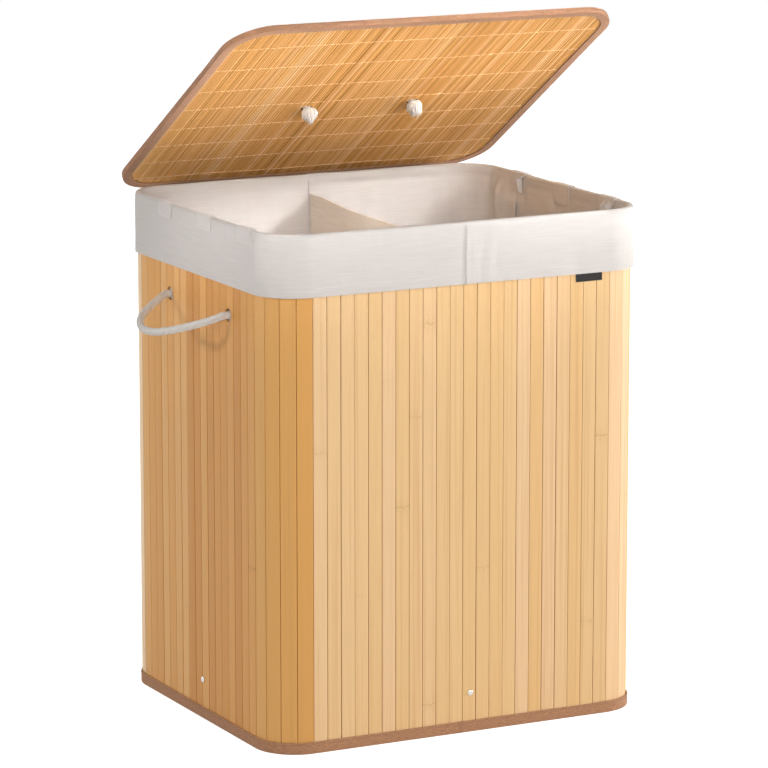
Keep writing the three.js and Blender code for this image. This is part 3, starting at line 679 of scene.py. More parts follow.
grey_board, shader = new_material("grey board", 0.82, Specular_IOR_Level=0.3)
place = object_place(shader.id_data)
flecks, cloudy = noise(place, 420.0, 5.0), noise(place, 14.0)
colour = mixed(from_to(flecks, 0.4, 0.7), srgb(196, 182, 160), srgb(158, 142, 120))
colour = mixed(from_to(cloudy, 0.4, 0.7, 0.0, 0.4), colour, srgb(176, 160, 136))
fill(shader.inputs, {"Base Color": colour})
raise_surface(shader, flecks, 0.0003)
print("materials", rivet_steel.name, grey_board.name)

# %% [markdown]
# ## Rope handles
#
# Each handle is one loop of cord, 9 mm thick, whose ends turn on a line just off the wall. The
# loops come first, because a cord has a real length that must come out right. The route is the
# CAD one: shares of half the span and of the reach. The cord could be a curve with a round bevel,
# but a mesh tube can have the fine ribs of its yarns.

# %% Rope handles
SIDE_ROUTE = [
    (1, 0), (0.96, 0.16), (0.88, 0.4), (0.74, 0.67), (0.52, 0.87), (0.22, 0.985),
    (-0.1, 0.965), (-0.4, 0.79), (-0.68, 0.51), (-0.88, 0.24), (-1, 0),
]
LID_ROUTE = [
    (1, 0), (0.99, 0.26), (0.93, 0.55), (0.78, 0.8), (0.5, 0.95), (0, 1),
    (-0.5, 0.95), (-0.78, 0.8), (-0.93, 0.55), (-0.99, 0.26), (-1, 0),
]
ROPE_RADIUS = 4.5
SIDE_REACH, LID_LOOP_REACH, LID_LOOP_Z = 67, 46, 643.4
SIDE_DROOP = math.radians(25)
LID_OPEN = math.radians(32.2)
LID_HANDLE_Y, LID_HOLE_X = 18.0, 73.0
HINGE_Y, HINGE_Z = 219.3, 611.5


def opened(points):
    """Points of the closed lid, swung open about the hinge to where the photograph has it."""
    points = np.array(points, float)
    y, z = points[..., 1] - HINGE_Y, points[..., 2] - HINGE_Z
    points[..., 1] = HINGE_Y + y * math.cos(LID_OPEN) + z * math.sin(LID_OPEN)
    points[..., 2] = HINGE_Z - y * math.sin(LID_OPEN) + z * math.cos(LID_OPEN)
    return points


def rope_handle(name, route, body, node):
    """A loop of cord along a route, drawn on by its radius at both ends."""
    line = rounded_line(route, 2.5)
    ways = [line[1] - line[0], line[-2] - line[-1]]
    ends = [p - w / np.linalg.norm(w) * ROPE_RADIUS for p, w in zip((line[0], line[-1]), ways)]
    before, after = np.linspace(ends[0], line[0], 5)[:-1], np.linspace(line[-1], ends[1], 5)[1:]
    drawn = np.vstack([before, line, after])
    made = tube(drawn, ROPE_RADIUS, 56, len(name), ribs=14, rib_depth=0.14)
    piece = add_piece(name, made, handle_cord, body, "rope", node, sharp=80)


for side, side_name in ((-1, "left"), (1, "right")):
    share, reach = np.array(SIDE_ROUTE, float).T
    out_x = side * (SHELL_LONG / 2 + 5.5 + reach * SIDE_REACH * math.cos(SIDE_DROOP))
    out_z = HANDLE_Z - reach * SIDE_REACH * math.sin(SIDE_DROOP)
    route = xyz(out_x, HANDLE_Y + share * HANDLE_SPAN / 2, out_z)
    body = f"handle_{side_name}"
    rope_handle(f"{side_name}_rope_handle", route, body, f"{body}_loop")
share, reach = np.array(LID_ROUTE, float).T
route = xyz(share * LID_HOLE_X, LID_HANDLE_Y + reach * LID_LOOP_REACH, LID_LOOP_Z)
rope_handle("lid_rope_handle", opened(route), "handle_lid", "lid_handle_loop")

# %% [markdown]
# ## Slats
#
# On the real walls no two slats are quite alike: each has rounded long edges, a slight crown, a
# little tilt, and its own gap to the next, and that is what makes the dark lines between them
# uneven. One section drawn along each slat gives all of this. A cloth backing closes the gaps.
# Drilling a wall makes new points, so its marks are written again from where the points lie.

# %% One slat
RIVET_X, RIVET_Z, RIVET_HOLE = 11.0, 49.0, 1.95
ROPE_HOLE = 8.5
LONG_FLAT, DEEP_FLAT = SHELL_LONG - 2 * CORNER, SHELL_DEEP - 2 * CORNER
WALLS = [
    ("front", 0, LONG_FLAT, SHELL_DEEP / 2, 22),
    ("right", 1, DEEP_FLAT, SHELL_LONG / 2, 17),
    ("back", 2, LONG_FLAT, SHELL_DEEP / 2, 22),
    ("left", 3, DEEP_FLAT, SHELL_LONG / 2, 17),
]


def slat(section, across, seed):
    """(points, faces, marks) of a bar: the section's [x, y] points, drawn up the wall."""
    x, y = np.array(section, float).T
    points = [xyz(x, y, z) for z in (WALL_FOOT, WALL_TOP)]
    return swept(points, [xyz(across, z * MM, seed) for z in (WALL_FOOT, WALL_TOP)])


def slat_section(left, right, thick, lean, crown=0.07, edge=0.5):
    """Across the slat and outwards: a flat back, round edges, and a crowned, leaning face."""
    wide = right - left
    rounding = [(0, 0.6), (0, 0.32), (0.25, 0.1), (1, 0)]
    outline = [(left + share * edge, -drop * edge * 1.1) for share, drop in rounding]
    outline += [(left + share * wide, 0.0) for share in (0.2, 0.4, 0.6, 0.8)]
    outline += [(right - share * edge, -drop * edge * 1.1) for share, drop in rounding[::-1]]
    x, y = np.array(outline).T
    part = (x - left) / wide
    y = y - crown * (2 * part - 1) ** 2 - lean * (part if lean > 0 else part - 1)
    return np.vstack([np.column_stack([x, y]), [(right, -thick), (left, -thick)]])


def turned(points, quarter_turns):
    """Points of the front wall, carried to the wall that many quarter turns to the right."""
    angle = quarter_turns * math.pi / 2
    c, s = math.cos(angle), math.sin(angle)
    x, y, z = np.array(points, float).T
    return xyz(c * x - s * y, s * x + c * y, z)


# %% Bars with their backing, holes, and the marks after them
def backed(name, bars, backing, bamboo, move=None):
    """One object of bamboo bars and the cloth behind them."""
    front = sum(len(bar[1]) for bar in bars)
    made = merged([*bars, backing])
    kinds = [0] * front + [1] * (len(made[1]) - front)
    return mesh_object(name, made, [bamboo, slat_backing], kinds=kinds, move=move)


def cut_holes(piece, cutters):
    """Takes cylinders out of a piece: each has a middle, a direction, a radius and a length."""
    parts = []
    for middle, direction, radius, length in cutters:
        half = np.array(direction, float) / np.linalg.norm(direction) * length / 2
        parts.append(tube([middle - half, middle + half], radius, 40, 0, round_ends=False))
    tool = mesh_object("drill", merged(parts), [])
    drill = piece.modifiers.new("holes", "BOOLEAN")
    drill.operation, drill.object, drill.solver = "DIFFERENCE", tool, "EXACT"
    bpy.context.view_layer.update()
    shaped = piece.evaluated_get(bpy.context.evaluated_depsgraph_get())
    mesh = bpy.data.meshes.new_from_object(shaped)
    piece.modifiers.clear()
    piece.data = mesh
    bpy.data.objects.remove(tool)


def places(piece):
    """The piece's points, in millimetres."""
    return np.array([v.co for v in piece.data.vertices]) / MM


def remark(piece, across, along, edges, seeds, half):
    """Marks for points that lie across and along a row of bars, each half as wide as half."""
    index = np.clip(np.searchsorted(edges, across) - 1, 0, len(seeds) - 1)
    middle = (edges[index] + edges[index + 1]) / 2
    write_marks(piece.data, xyz((across - middle) / half, along * MM, seeds[index]))


# %% Walls of slats
def wall_of_slats(name, quarter_turns, flat, reach, count):
    rng = np.random.default_rng(40 + quarter_turns)
    pitch = (flat - 0.3) / count
    gaps = rng.uniform(0.5, 1.15, count + 1)
    gaps[[0, -1]] = 0.5
    # The left wall's slats take only the darkest, most golden tones, as painted shade for the side
    # out of the main light.
    darkest, palest = (0.0, 0.3) if name == "left" else (0.42, 0.99)
    seeds = quarter_turns * 100 + np.arange(count) + rng.uniform(darkest, palest, count)
    edges = (np.arange(count + 1) - count / 2) * pitch
    bars = []
    for i in range(count):
        left, right = edges[i] + gaps[i] / 2, edges[i + 1] - gaps[i + 1] / 2
        section = slat_section(left, right, SLAT_THICK, rng.uniform(-0.28, 0.28))
        across = (section[:, 0] - (edges[i] + edges[i + 1]) / 2) / (pitch / 2)
        section[:, 1] = -reach - section[:, 1]
        bars.append(slat(section, across, seeds[i]))
    half, face, back = flat / 2 - 0.2, SLAT_THICK + 0.05 - reach, WALL_THICK - reach
    sheet = np.array([(-half, face), (half, face), (half, back), (-half, back)])
    piece = backed(
        f"{name}_wall_slats", bars, slat(sheet, sheet[:, 0] * MM, 3.0), slat_bamboo,
        move=lambda points: turned(points, quarter_turns),
    )
    middle, way = turned([(RIVET_X, -reach, RIVET_Z), (0, 1, 0)], quarter_turns)
    holes = [(middle, way, RIVET_HOLE, 12)]
    if name in ("left", "right"):
        for end in (-1, 1):
            place = (math.copysign(reach, -way[0]), HANDLE_Y + end * HANDLE_SPAN / 2, HANDLE_Z)
            holes.append((place, way, ROPE_HOLE, 12))
    cut_holes(piece, holes)
    x, _, z = turned(places(piece), -quarter_turns).T
    remark(piece, x, z, edges, seeds, pitch / 2)
    smooth(piece.data, 38)
    dress(piece, "hamper", "bamboo", f"slats_{name}")


for wall in WALLS:
    wall_of_slats(*wall)

# %% [markdown]
# The corners are the clever part: four narrow slats take the turn, so each corner is a row of
# flat facets and not a curve. They are set round the corner's centre, one facet each.

# %% Corner slats
def corner_slats(name, quarter_turns, x, y):
    rng = np.random.default_rng(70 + quarter_turns)
    sweep = math.pi / 2 / 4
    reach, half = CORNER * math.cos(sweep / 2), CORNER * math.sin(sweep / 2)
    # The front-left corner takes tones between the left wall's and the front's, as painted shade
    # where the wall turns out of the main light.
    darkest, palest = (0.2, 0.5) if name == "front_left" else (0.42, 0.95)
    bars = []
    for i in range(4):
        angle = -math.pi / 2 + (i + 0.5) * sweep
        out = np.array([math.cos(angle), math.sin(angle)])
        way = np.array([-out[1], out[0]])
        edge = half - rng.uniform(0.6, 1.1) / 2
        seed = 500 + quarter_turns * 10 + i + rng.uniform(darkest, palest)
        section = slat_section(-edge, edge, SLAT_THICK - 0.2, rng.uniform(-0.1, 0.1), 0.05, 0.7)
        flat = reach * out + np.outer(section[:, 0], way) + np.outer(section[:, 1], out)
        bars.append(slat(flat, section[:, 0] / half, seed))
    rays = np.linspace(0.004 - math.pi / 2, -0.004, 17)
    arc = np.column_stack([np.cos(rays), np.sin(rays)])
    sheet = np.concatenate([(CORNER - 2.9) * arc, (CORNER - 3.4) * arc[::-1]])
    centre = np.array([x * (SHELL_LONG / 2 - CORNER), y * (SHELL_DEEP / 2 - CORNER), 0])
    piece = backed(
        f"{name}_corner_slats", bars, slat(sheet, sheet[:, 0] * MM, 4.0), slat_bamboo,
        move=lambda points: turned(points, quarter_turns) + centre,
    )
    dress(piece, "hamper", "bamboo", f"slats_corner_{name}")


CORNERS = ["front_right", "back_right", "back_left", "front_left"]
SQUARE = [(1, -1), (1, 1), (-1, 1), (-1, -1)]
for quarter_turns, (name, (x, y)) in enumerate(zip(CORNERS, SQUARE)):
    corner_slats(name, quarter_turns, x, y)

# %% [markdown]
# ## Tapes
#
# A woven tape is folded round the foot of the slats and round the edge of the lid, and sewn
# through near its free edge. A closed section is swept round the rounded rectangle. Real tape is
# never quite even, so its free edges wander by part of a millimetre.

# %% A band swept round a rounded rectangle
def band(outline, section, wander, seed, shift=(0, 0, 0)):
    """Sweeps a closed section of (offset, z, share of the wander, distance along the section)."""
    total = round_length(outline)
    stations = np.arange(0, total, total / round(total / 6))
    base, out = walk(outline, stations)
    loose = hills(stations, 0, seed, 34, 1) * ease(stations, 0, 30)
    loose = loose * ease(stations, total, total - 30)
    points, marks = [], []
    for offset, z, share, distance in section:
        points.append(xyz(*(base + out * offset).T, z + share * wander * loose) + shift)
        marks.append(xyz(stations * MM, distance * MM, seed))
    return swept(points, marks, capped=False)


def stitches(outline, offset, z, length, gap, thick, seed, shift=(0, 0, 0), lift=0):
    """A row of sewn stitches round a rounded rectangle, each a short thread that dips at its ends.

    They bulge outwards, or up or down by the sign of lift."""
    rng = np.random.default_rng(seed)
    total = round_length(outline)
    count = int(total / (length + gap))
    shares = np.array([0, 0.12, 0.5, 0.88, 1.0]) * length / (length + gap)
    rise = np.array([-1, 0.2, 0.4, 0.2, -1]) * thick
    parts = []
    for i in range(count):
        base, out = walk(outline, (i + shares) * total / count)
        side = rng.uniform(-0.15, 0.15)
        off, high = (side, lift * rise) if lift else (rise[:, None], side)
        line = xyz(*(base + out * (offset + off)).T, z + high)
        parts.append(tube(line, thick, 6, seed + i, round_ends=False))
    points, faces, marks = merged(parts)
    return points + np.array(shift), faces, marks


foot_section = [
    (0.5, 0.05, 0, 0), (1.1, 0.25, 0, 1), (1.3, 0.9, 0, 2), (1.32, 7, 0.2, 8), (1.3, 13.6, 1, 14.5),
    (1.05, 14.45, 1, 15.4), (0.5, 14.45, 1, 16), (0.32, 13.6, 1, 17), (0.3, 1.0, 0, 29),
    (-3.1, 1.0, 0, 33), (-3.1, 13.6, 0.5, 45), (-3.3, 14.4, 0.5, 46), (-3.8, 14.4, 0.5, 47),
    (-4.08, 13.6, 0.5, 48), (-4.1, 0.9, 0, 60), (-3.9, 0.25, 0, 61), (-3.3, 0.05, 0, 62),
]
made = band(SHELL, foot_section, wander=0.35, seed=11)
add_piece("foot_binding", made, twill_tape, "hamper", "brown_tape", "foot_tape")
made = stitches(SHELL, 1.45, 11.6, length=3.0, gap=1.2, thick=0.22, seed=12)
add_piece("foot_binding_stitches", made, brown_thread, "hamper", "brown_tape")

# %% [markdown]
# ## The lid
#
# The lid is made closed, where its numbers are simple, and swung open at the end. Its top is a
# panel of slats like the walls. Under it lies a mat of thin half-round sticks, sewn together with
# rows of thread that cross them in long stitches. Sticks end where the rounded edge cuts them.

# %% Bars of the lid
LID = LID_LONG, LID_DEEP, LID_CORNER = 521.0, 447.0, 54.0
LID_BACK = 228.0
LID_MIDDLE = LID_BACK - LID_DEEP / 2
LID_FOOT, MAT_FOOT, MAT_TOP, LID_SLAT_TOP = 631.6, 632.7, 635.0, 637.9
LID_SLATS = 28
PANEL_HALF = LID_LONG / 2 - 1.1
print("lid", LID_LONG, "x", LID_DEEP, "mm")


def lid_reach(x, inset):
    """How far the lid runs to the front and back of its middle, at x."""
    x = np.abs(np.asarray(x, float))
    radius = LID_CORNER - inset
    over = np.clip(x - (LID_LONG / 2 - LID_CORNER), 0, radius * 0.999)
    return LID_DEEP / 2 - LID_CORNER + np.sqrt(radius**2 - over**2)


def lid_bar(section, seed, middle, half, rows, wave=0.0):
    """A bar of [x, z] points that runs front to back, cut by the lid's rounded edge."""
    x, z = np.array(section, float).T
    reach = lid_reach(x, 1.2)
    rng = np.random.default_rng(int(seed * 7))
    drift = np.convolve(rng.uniform(-1, 1, rows + 2), [0.25, 0.5, 0.25], "valid") * wave
    points, marks = [], []
    for share, side in zip(np.linspace(-1, 1, rows), drift):
        y = LID_MIDDLE + share * reach
        points.append(xyz(x + side, y, z))
        marks.append(xyz((x - middle) / half, y * MM, seed))
    return swept(points, marks)


def lid_backing(top, foot, seed):
    """A sheet of cloth that fills the lid's panel from foot to top."""
    across = even(-PANEL_HALF, PANEL_HALF, 6)
    section = [(x, top) for x in across] + [(x, foot) for x in across[::-1]]
    return lid_bar(section, seed, 0, 1 / MM, 2)


def finish_lid_panel(piece, half, edges, seeds, hole, slot, node):
    """Drills the handle's holes, writes the marks again, and swings the panel open."""
    holes = [((x, LID_HANDLE_Y, MAT_TOP), (0, 0, 1), hole, 20) for x in (-LID_HOLE_X, LID_HOLE_X)]
    cut_holes(piece, holes)
    co = places(piece)
    remark(piece, co[:, 0], co[:, 1], edges, seeds, half)
    piece.data.vertices.foreach_set("co", (opened(co) * MM).astype(np.float32).ravel())
    piece.data.update()
    smooth(piece.data, 50)
    dress(piece, "lid", slot, node)


# %% Lid panels: slats on top, sticks below
rng = np.random.default_rng(5)
half = PANEL_HALF / LID_SLATS
edges = (np.arange(LID_SLATS + 1) - LID_SLATS / 2) * 2 * half
seeds = 700 + np.arange(LID_SLATS) + rng.uniform(0.2, 0.98, LID_SLATS)
bars = []
for left, right, seed in zip(edges, edges[1:], seeds):
    gap = rng.uniform(0.35, 0.9)
    section = slat_section(left + gap / 2, right - gap / 2, 2.2, rng.uniform(-0.25, 0.25))
    section[:, 1] += LID_SLAT_TOP
    bars.append(lid_bar(section, seed, (left + right) / 2, half, 9))
lid_top = backed("lid_top_slats", bars, lid_backing(635.65, 635.35, 5.0), slat_bamboo)
finish_lid_panel(lid_top, half, edges, seeds, 5.4, "bamboo", "lid_slats")

edges = np.concatenate([[0], np.cumsum(rng.triangular(2.0, 2.8, 5.6, 200))])
edges = np.append(edges[edges < 2 * PANEL_HALF - 2], 2 * PANEL_HALF) - PANEL_HALF
count = len(edges) - 1
seeds = 900 + np.arange(count) + rng.beta(1.6, 1.3, count) * 0.98
bars = []
for left, right, seed in zip(edges, edges[1:], seeds):
    slack = rng.triangular(0.1, 0.16, 0.42, 2)
    left, right = left + slack[0], right - slack[1]
    middle, half, deep = (left + right) / 2, (right - left) / 2, rng.uniform(1.4, 2.1)
    angle = np.linspace(0, math.pi, 7)
    low = MAT_TOP - 0.12 - deep * np.abs(np.sin(angle)) ** 0.85
    section = np.column_stack([middle - half * np.cos(angle), low])
    bars.append(lid_bar(section, seed, middle, half, 12, 0.12))
mat = backed("lid_stick_mat_sewn", bars, lid_backing(MAT_TOP, MAT_TOP - 0.1, 6.0), stick_bamboo)
finish_lid_panel(mat, 1.6, edges, seeds, 7.6, "bamboo_sticks", "lid_stick_mat")
print(count, "sticks")

# %% [markdown]
# Eight rows of thread hold the sticks. Each stitch lies over two sticks and dips between the
# next, and the rows wander a little, as the photograph shows. Each stitch is a short thread.

# %% Threads that sew the mat
ROWS_FROM_BACK = (30, 76, 125, 175, 229, 279, 338, 395)
KNOT_ROOM = 9
rng = np.random.default_rng(8)
shares, dips = np.array([0, 0.15, 0.5, 0.85, 1.0]), np.array([0.9, 0.1, -0.05, 0.1, 0.9])
edge_x = np.arange(206, 259, 1.0)[::-1]
parts = []
for row, from_back in enumerate(ROWS_FROM_BACK):
    y_row = LID_BACK - from_back
    room = np.interp(abs(y_row - LID_MIDDLE), lid_reach(edge_x, 13), edge_x)
    room = min(room, 247.0)
    x = -room
    while x < room - 4:
        length = rng.uniform(5.0, 8.0)
        y = y_row + 1.3 * float(hills(x, row * 9.0, 21, 70, 5)) + rng.uniform(-0.25, 0.25)
        from_knot = max(abs(abs(x + length / 2) - LID_HOLE_X), abs(y - LID_HANDLE_Y))
        if from_knot > KNOT_ROOM:
            line = xyz(x + shares * length, y, MAT_FOOT + dips)
            parts.append(tube(line, 0.46, 6, 40 + x, round_ends=False))
        x += length + rng.uniform(0.9, 1.9)
made = merged(parts)
add_piece("lid_mat_threads", made, sewing_thread, "lid", "cotton", sharp=80, move=opened)

# %% Binding of the lid
lid_section = [
    (-0.25, 0.15, 0, 0), (0, 0.9, 0, 1), (0.05, 3.7, 0, 4), (0, 6.5, 0, 7), (-0.25, 7.25, 0, 8),
    (-1.2, 7.42, 0, 9), (-11.2, 7.4, 0, 19), (-11.9, 7.2, 0, 20), (-12, 6.9, 0, 20.5),
    (-11.6, 6.62, 0, 21), (-1.1, 6.6, 0, 31), (-0.82, 6.3, 0, 32), (-0.8, 1.1, 0, 37),
    (-1.1, 0.82, 0, 38), (-11.5, 1.35, 0, 48), (-12, 1.25, 0, 48.5), (-12.05, 0.8, 0, 49),
    (-11.2, 0.15, 0, 50), (-9.8, 0.0, 0, 51.5), (-1.2, -0.02, 0, 60),
]
lid_place = (0, LID_MIDDLE, LID_FOOT)
made = band(LID, lid_section, wander=0, seed=13, shift=lid_place)
add_piece("lid_binding", made, lid_twill, "lid", "brown_tape", "lid_tape", sharp=60, move=opened)
for level, lift, name in ((0.2, -1, "under"), (7.4, 1, "upper")):
    made = stitches(
        LID, -10.2, level, length=3.4, gap=1.5, thick=0.24, seed=14, shift=lid_place, lift=lift
    )
    name = f"lid_binding_stitches_{name}"
    add_piece(name, made, sewing_thread, "lid", "brown_tape", sharp=80, move=opened)

# %% [markdown]
# ## The liner
#
# One sheet of cotton makes each half: hem, cuff, the fold over the rim, and the long way down
# inside. It is drawn as a grid of points, stations round the shell by rows from the hem to the
# floor, and its folds are sums of small hills, each with a cause: gathers where the cuff turns a
# corner, puckers beside the seam, a stitched hem, a swelling over each knot that lies behind it,
# and upright folds where spare cloth hangs. A cloth simulation could find such folds too, but
# here the photograph says where each of them is.

# %% Cloth from a grid
def walked_down(grid):
    """How far each point lies down the cloth from the first row."""
    steps = np.linalg.norm(np.diff(grid, axis=0), axis=2)
    return np.vstack([np.zeros((1, grid.shape[1])), np.cumsum(steps, axis=0)])


def cloth(grid, thick, across, seed):
    """(points, faces, marks) of a closed sheet round a grid of points on its middle surface."""
    rows, columns = grid.shape[:2]
    normal = np.cross(np.gradient(grid, axis=1), np.gradient(grid, axis=0))
    normal /= np.linalg.norm(normal, axis=2)[..., None]
    half = normal * np.broadcast_to(thick, (rows, columns))[..., None] / 2
    points = np.concatenate([(grid + half).reshape(-1, 3), (grid - half).reshape(-1, 3)])
    behind = rows * columns
    at = np.arange(behind).reshape(rows, columns)
    border = np.concatenate([at[0, :-1], at[:-1, -1], at[-1, :0:-1], at[:0:-1, 0]]).tolist()
    faces = grid_faces(rows, columns)
    faces += [tuple(i + behind for i in face[::-1]) for face in faces]
    faces += [(b, a, a + behind, b + behind) for a, b in zip(border, border[1:] + border[:1])]
    one_side = xyz(across * MM, walked_down(grid) * MM, seed).reshape(-1, 3)
    return points, faces, np.concatenate([one_side, one_side])


# %% Rows of the liner, from the hem to the floor
CUFF_FOOT, HEM_SEWN = RIM - 75, 10.5
CUFF_OFF, INNER_OFF = 1.6, -4.9
KNOT_BULGE_Z = HANDLE_Z - 6


def liner_rows():
    """Offset from the slats and height of each row, and the number of the first inside row."""
    rows = [(CUFF_OFF, z) for z in even(CUFF_FOOT, RIM - 6, 2.4)]
    middle, half = (CUFF_OFF + INNER_OFF) / 2, (CUFF_OFF - INNER_OFF) / 2
    for angle in np.linspace(0.22, math.pi - 0.22, 10):
        c, s = math.cos(angle), math.sin(angle)
        rows.append((middle + half * math.copysign(abs(c) ** 0.75, c), RIM - 4.6 + 4.05 * s**0.6))
    outer = len(rows)
    for high, low, step in ((RIM - 7, RIM - 60, 3.5), (RIM - 66, 330, 7), (318, 5.7, 12)):
        rows += [(INNER_OFF, z) for z in even(high, low, step)]
    return np.array(rows), outer


def liner_inset(z):
    """How far inside the slats' faces the liner hangs, at that height."""
    return np.interp(z, [100, 300], [9.5, 4.9])


ROWS, FIRST_INSIDE = liner_rows()
print(len(ROWS), "rows, first inside row", FIRST_INSIDE)

# %% Halves of the liner
# Each fold: its place along the wall, how far it stands in, its width, its length, and how far
# it leans along the wall.
FOLDS = {
    "right": [
        (113, 5.5, 6.5, 200, -17), (127, 5, 7, 220, 0), (143, 8, 10, 260, 0), (-150, 6, 14, 200, 0),
        (20, 3, 18, 300, 0),
    ],
    "left": [(118, 5, 16, 240, 0), (-20, 3, 20, 260, 0), (-130, 6, 14, 220, 0)],
}
TAB_WIDE = 38
TAB_ROOM = (SHELL_DEEP - TAB_WIDE) / 2 - CORNER
TAB_SHARES = {"left": (-0.993, -0.208, 0.576), "right": (-0.875, -0.09, 0.694)}
FLAT_ALONG = np.inf


def liner_half(side, name):
    """One half, from seam to seam; the right one laps over the left at both seams."""
    seam, seed = SEAM_X + side * 0.15, 20 + side
    if side > 0:
        lap = np.array([seam - 2.8, seam - 1.4])
        walked = even(seam, AROUND / 2 - seam, 3.2)
        station = np.concatenate([lap, walked, (AROUND / 2 - lap)[::-1]])
    else:
        station = even(seam, -(AROUND / 2 + seam), 3.2)
    base, out = walk(SHELL, station)
    (x, y), (out_x, out_y) = base.T, out.T
    offset, z = ROWS[:, :1], ROWS[:, 1:]
    inside = (np.arange(len(ROWS)) >= FIRST_INSIDE)[:, None]
    turning, handle_side = np.abs(out_x * out_y) * 2, np.abs(out_x) > 0.999

    def waves(number, wide, high):
        """Random swellings from 0 to 2, with hills of about that size."""
        return 1 + hills(station, z, seed + number, wide, high)

    from_seam = np.minimum(np.abs(station - station[0]), np.abs(station - station[-1]))
    ridge = 1.15 * ease(from_seam, 6.5, 3.5) if side > 0 else 0.0
    cuff = np.where(inside, 0, 1.0) * ease(z, RIM - 1, RIM - 8)
    hem = ease(z, CUFF_FOOT + 14, CUFF_FOOT + 11)
    tabs = [np.exp(-(((y - part * TAB_ROOM) / 23) ** 6)) for part in TAB_SHARES[name]]
    tab = np.max(tabs, axis=0) * handle_side
    swell = 0.16 * waves(0, 60, 26) + 0.07 * waves(3, 15, 40)
    swell += 0.42 * turning * waves(5, 5.5, 50) * ease(z, RIM, RIM - 20)
    swell += 0.2 * hem * waves(7, 45, FLAT_ALONG)
    swell -= 0.42 * bump(z, CUFF_FOOT + HEM_SEWN, 1.3)
    swell += 0.2 * bump(from_seam, 20, 14) * (waves(9, 4.5, 70) - 1)
    swell *= 1 - tab * ease(z, RIM - 26, RIM - 19)
    offset = offset + cuff * (np.maximum(swell, 0.0) + ridge)

    knots = [HANDLE_Y + end * HANDLE_SPAN / 2 for end in (-1, 1)]
    away = np.minimum(*[np.hypot(y - place, z - KNOT_BULGE_Z) for place in knots])
    bulge = 0.5 + 0.5 * np.cos(np.pi * np.clip((away / 50 - 0.42) / 0.58, 0, 1))
    slack = 1.6 * waves(11, 42, 150) + 0.9 * waves(13, 17, 90) + 1.1 * turning * waves(15, 9, 160)
    slack *= ease(z, RIM - 4, RIM - 40) * ease(z, 5, 60)
    upright = leaning = 0.0
    for place, rise, spread, length, lean in FOLDS[name]:
        shape = bump(y, place, spread) * ease(z, RIM - 3, RIM - 30)
        shape = shape * ease(z, RIM - length, RIM - length / 2)
        upright, leaning = upright + rise * shape, leaning + lean * shape
    held = 1 - tab * ease(z, RIM - 40, RIM - 26)
    slack = (slack + np.where(handle_side | (turning > 0), upright, 0)) * held
    y = y + np.where(inside & handle_side, leaning, 0) * held
    rim_line = 0.9 * bump(z, RIM - 14, 1.8) * (1 - tab) * ease(z, 300, 500)
    inset = liner_inset(z) + np.where(handle_side, bulge * 15.8, 0)
    inset = inset + slack + ridge * ease(z, RIM - 2, RIM - 10) - rim_line
    offset = np.where(inside, -inset, offset)

    rim_back = np.where(y > SHELL_DEEP / 2 - 8, 1.0, 0.0)
    lifted = 0.6 * waves(17, 55, FLAT_ALONG) * ease(np.minimum(z, RIM), RIM - 9, RIM)
    z = z + lifted * (0.25 + 0.6 * rim_back * bump(x, 20, 150))
    grid = xyz(x + out_x * offset, y + out_y * offset, z)
    made = cloth(grid, 1.0 + 0.4 * np.where(inside, 0, hem), station, seed)
    piece = mesh_object(f"liner_{name}_half", made, [liner_cotton], sharp=70)
    dress(piece, "hamper", "cotton", f"liner_{name}")


for side, name in ((1, "right"), (-1, "left")):
    liner_half(side, name)

# %% Stitches of the hem
made = stitches(SHELL, 2.2, CUFF_FOOT + HEM_SEWN, length=2.6, gap=0.9, thick=0.2, seed=31)
add_piece("liner_hem_stitches", made, loose_yarn, "hamper", "cotton")

# %% [markdown]
# The floor of the liner is one more sheet, with soft ripples where it is sewn to the sides. The
# divider hangs between the two seams. Its top edge is folded into a hem and sags; the heights
# along it were read from the photograph.

# %% Floor of the liner
FLOOR_Z, FLOOR_HALF = 5.65, 0.55
base, out = walk(SHELL, np.arange(0, AROUND, AROUND / 180))
edge = base - out * 10.6
rings = np.linspace(0.04, 1.0, 26)
layers = [(ring, FLOOR_HALF) for ring in rings] + [(ring, -FLOOR_HALF) for ring in rings[::-1]]
points, marks = [], []
for ring, thickness in layers:
    x, y = (edge * ring).T
    ripple = 0.9 * (1 + hills(x, y, 33, 55, 70)) * ease(ring, 1.0, 0.85)
    points.append(xyz(x, y, FLOOR_Z + ripple + thickness))
    marks.append(xyz(x * MM, y * MM, 33.0))
liner_floor = mesh_object("liner_floor_cloth", swept(points, marks), [liner_cotton])
dress(liner_floor, "hamper", "cotton", "liner_floor")

# %% Divider
EDGE_Y = [-207, -199, -176, -127, -82, -48, -9, 36, 82, 127, 176, 199, 207]
EDGE_Z = [606, 606, 606, 603, 600, 599, 598, 599, 601, 604, 607, 606, 606]
DIVIDER_FOOT, DIVIDER_HIGH = 6.9, 600
share = np.linspace(0, 1, 121)
level = np.concatenate([even(0, 0.972, 0.018), [0.976, 0.982, 0.988, 0.994, 1.0]])[:, None]
inner = SHELL_DEEP / 2 - liner_inset(6.5 + DIVIDER_HIGH * level) - 0.9
inner = inner - 1.8 * ease(level, 0.02, 0.2) * ease(level, 1, 0.9)
y = -inner + 2 * inner * share
top = np.interp(y, EDGE_Y, EDGE_Z) - 0.8
belly = np.sin(math.pi * share)
wave = np.sin(2 * math.pi * 1.5 * share + math.pi * level)
small = hills(y, DIVIDER_HIGH * level, 37, 60, 120) * belly * level
grid = xyz(
    SEAM_X + 5 * belly * wave * level + 3.0 * small, y, DIVIDER_FOOT + (top - DIVIDER_FOOT) * level
)
made = cloth(grid, 1.0 + 1.1 * ease(level, 0.975, 0.982), y, 37)
divider = mesh_object("liner_divider_cloth", made, [divider_cotton], sharp=70)
dress(divider, "hamper", "divider_cotton", "liner_divider")

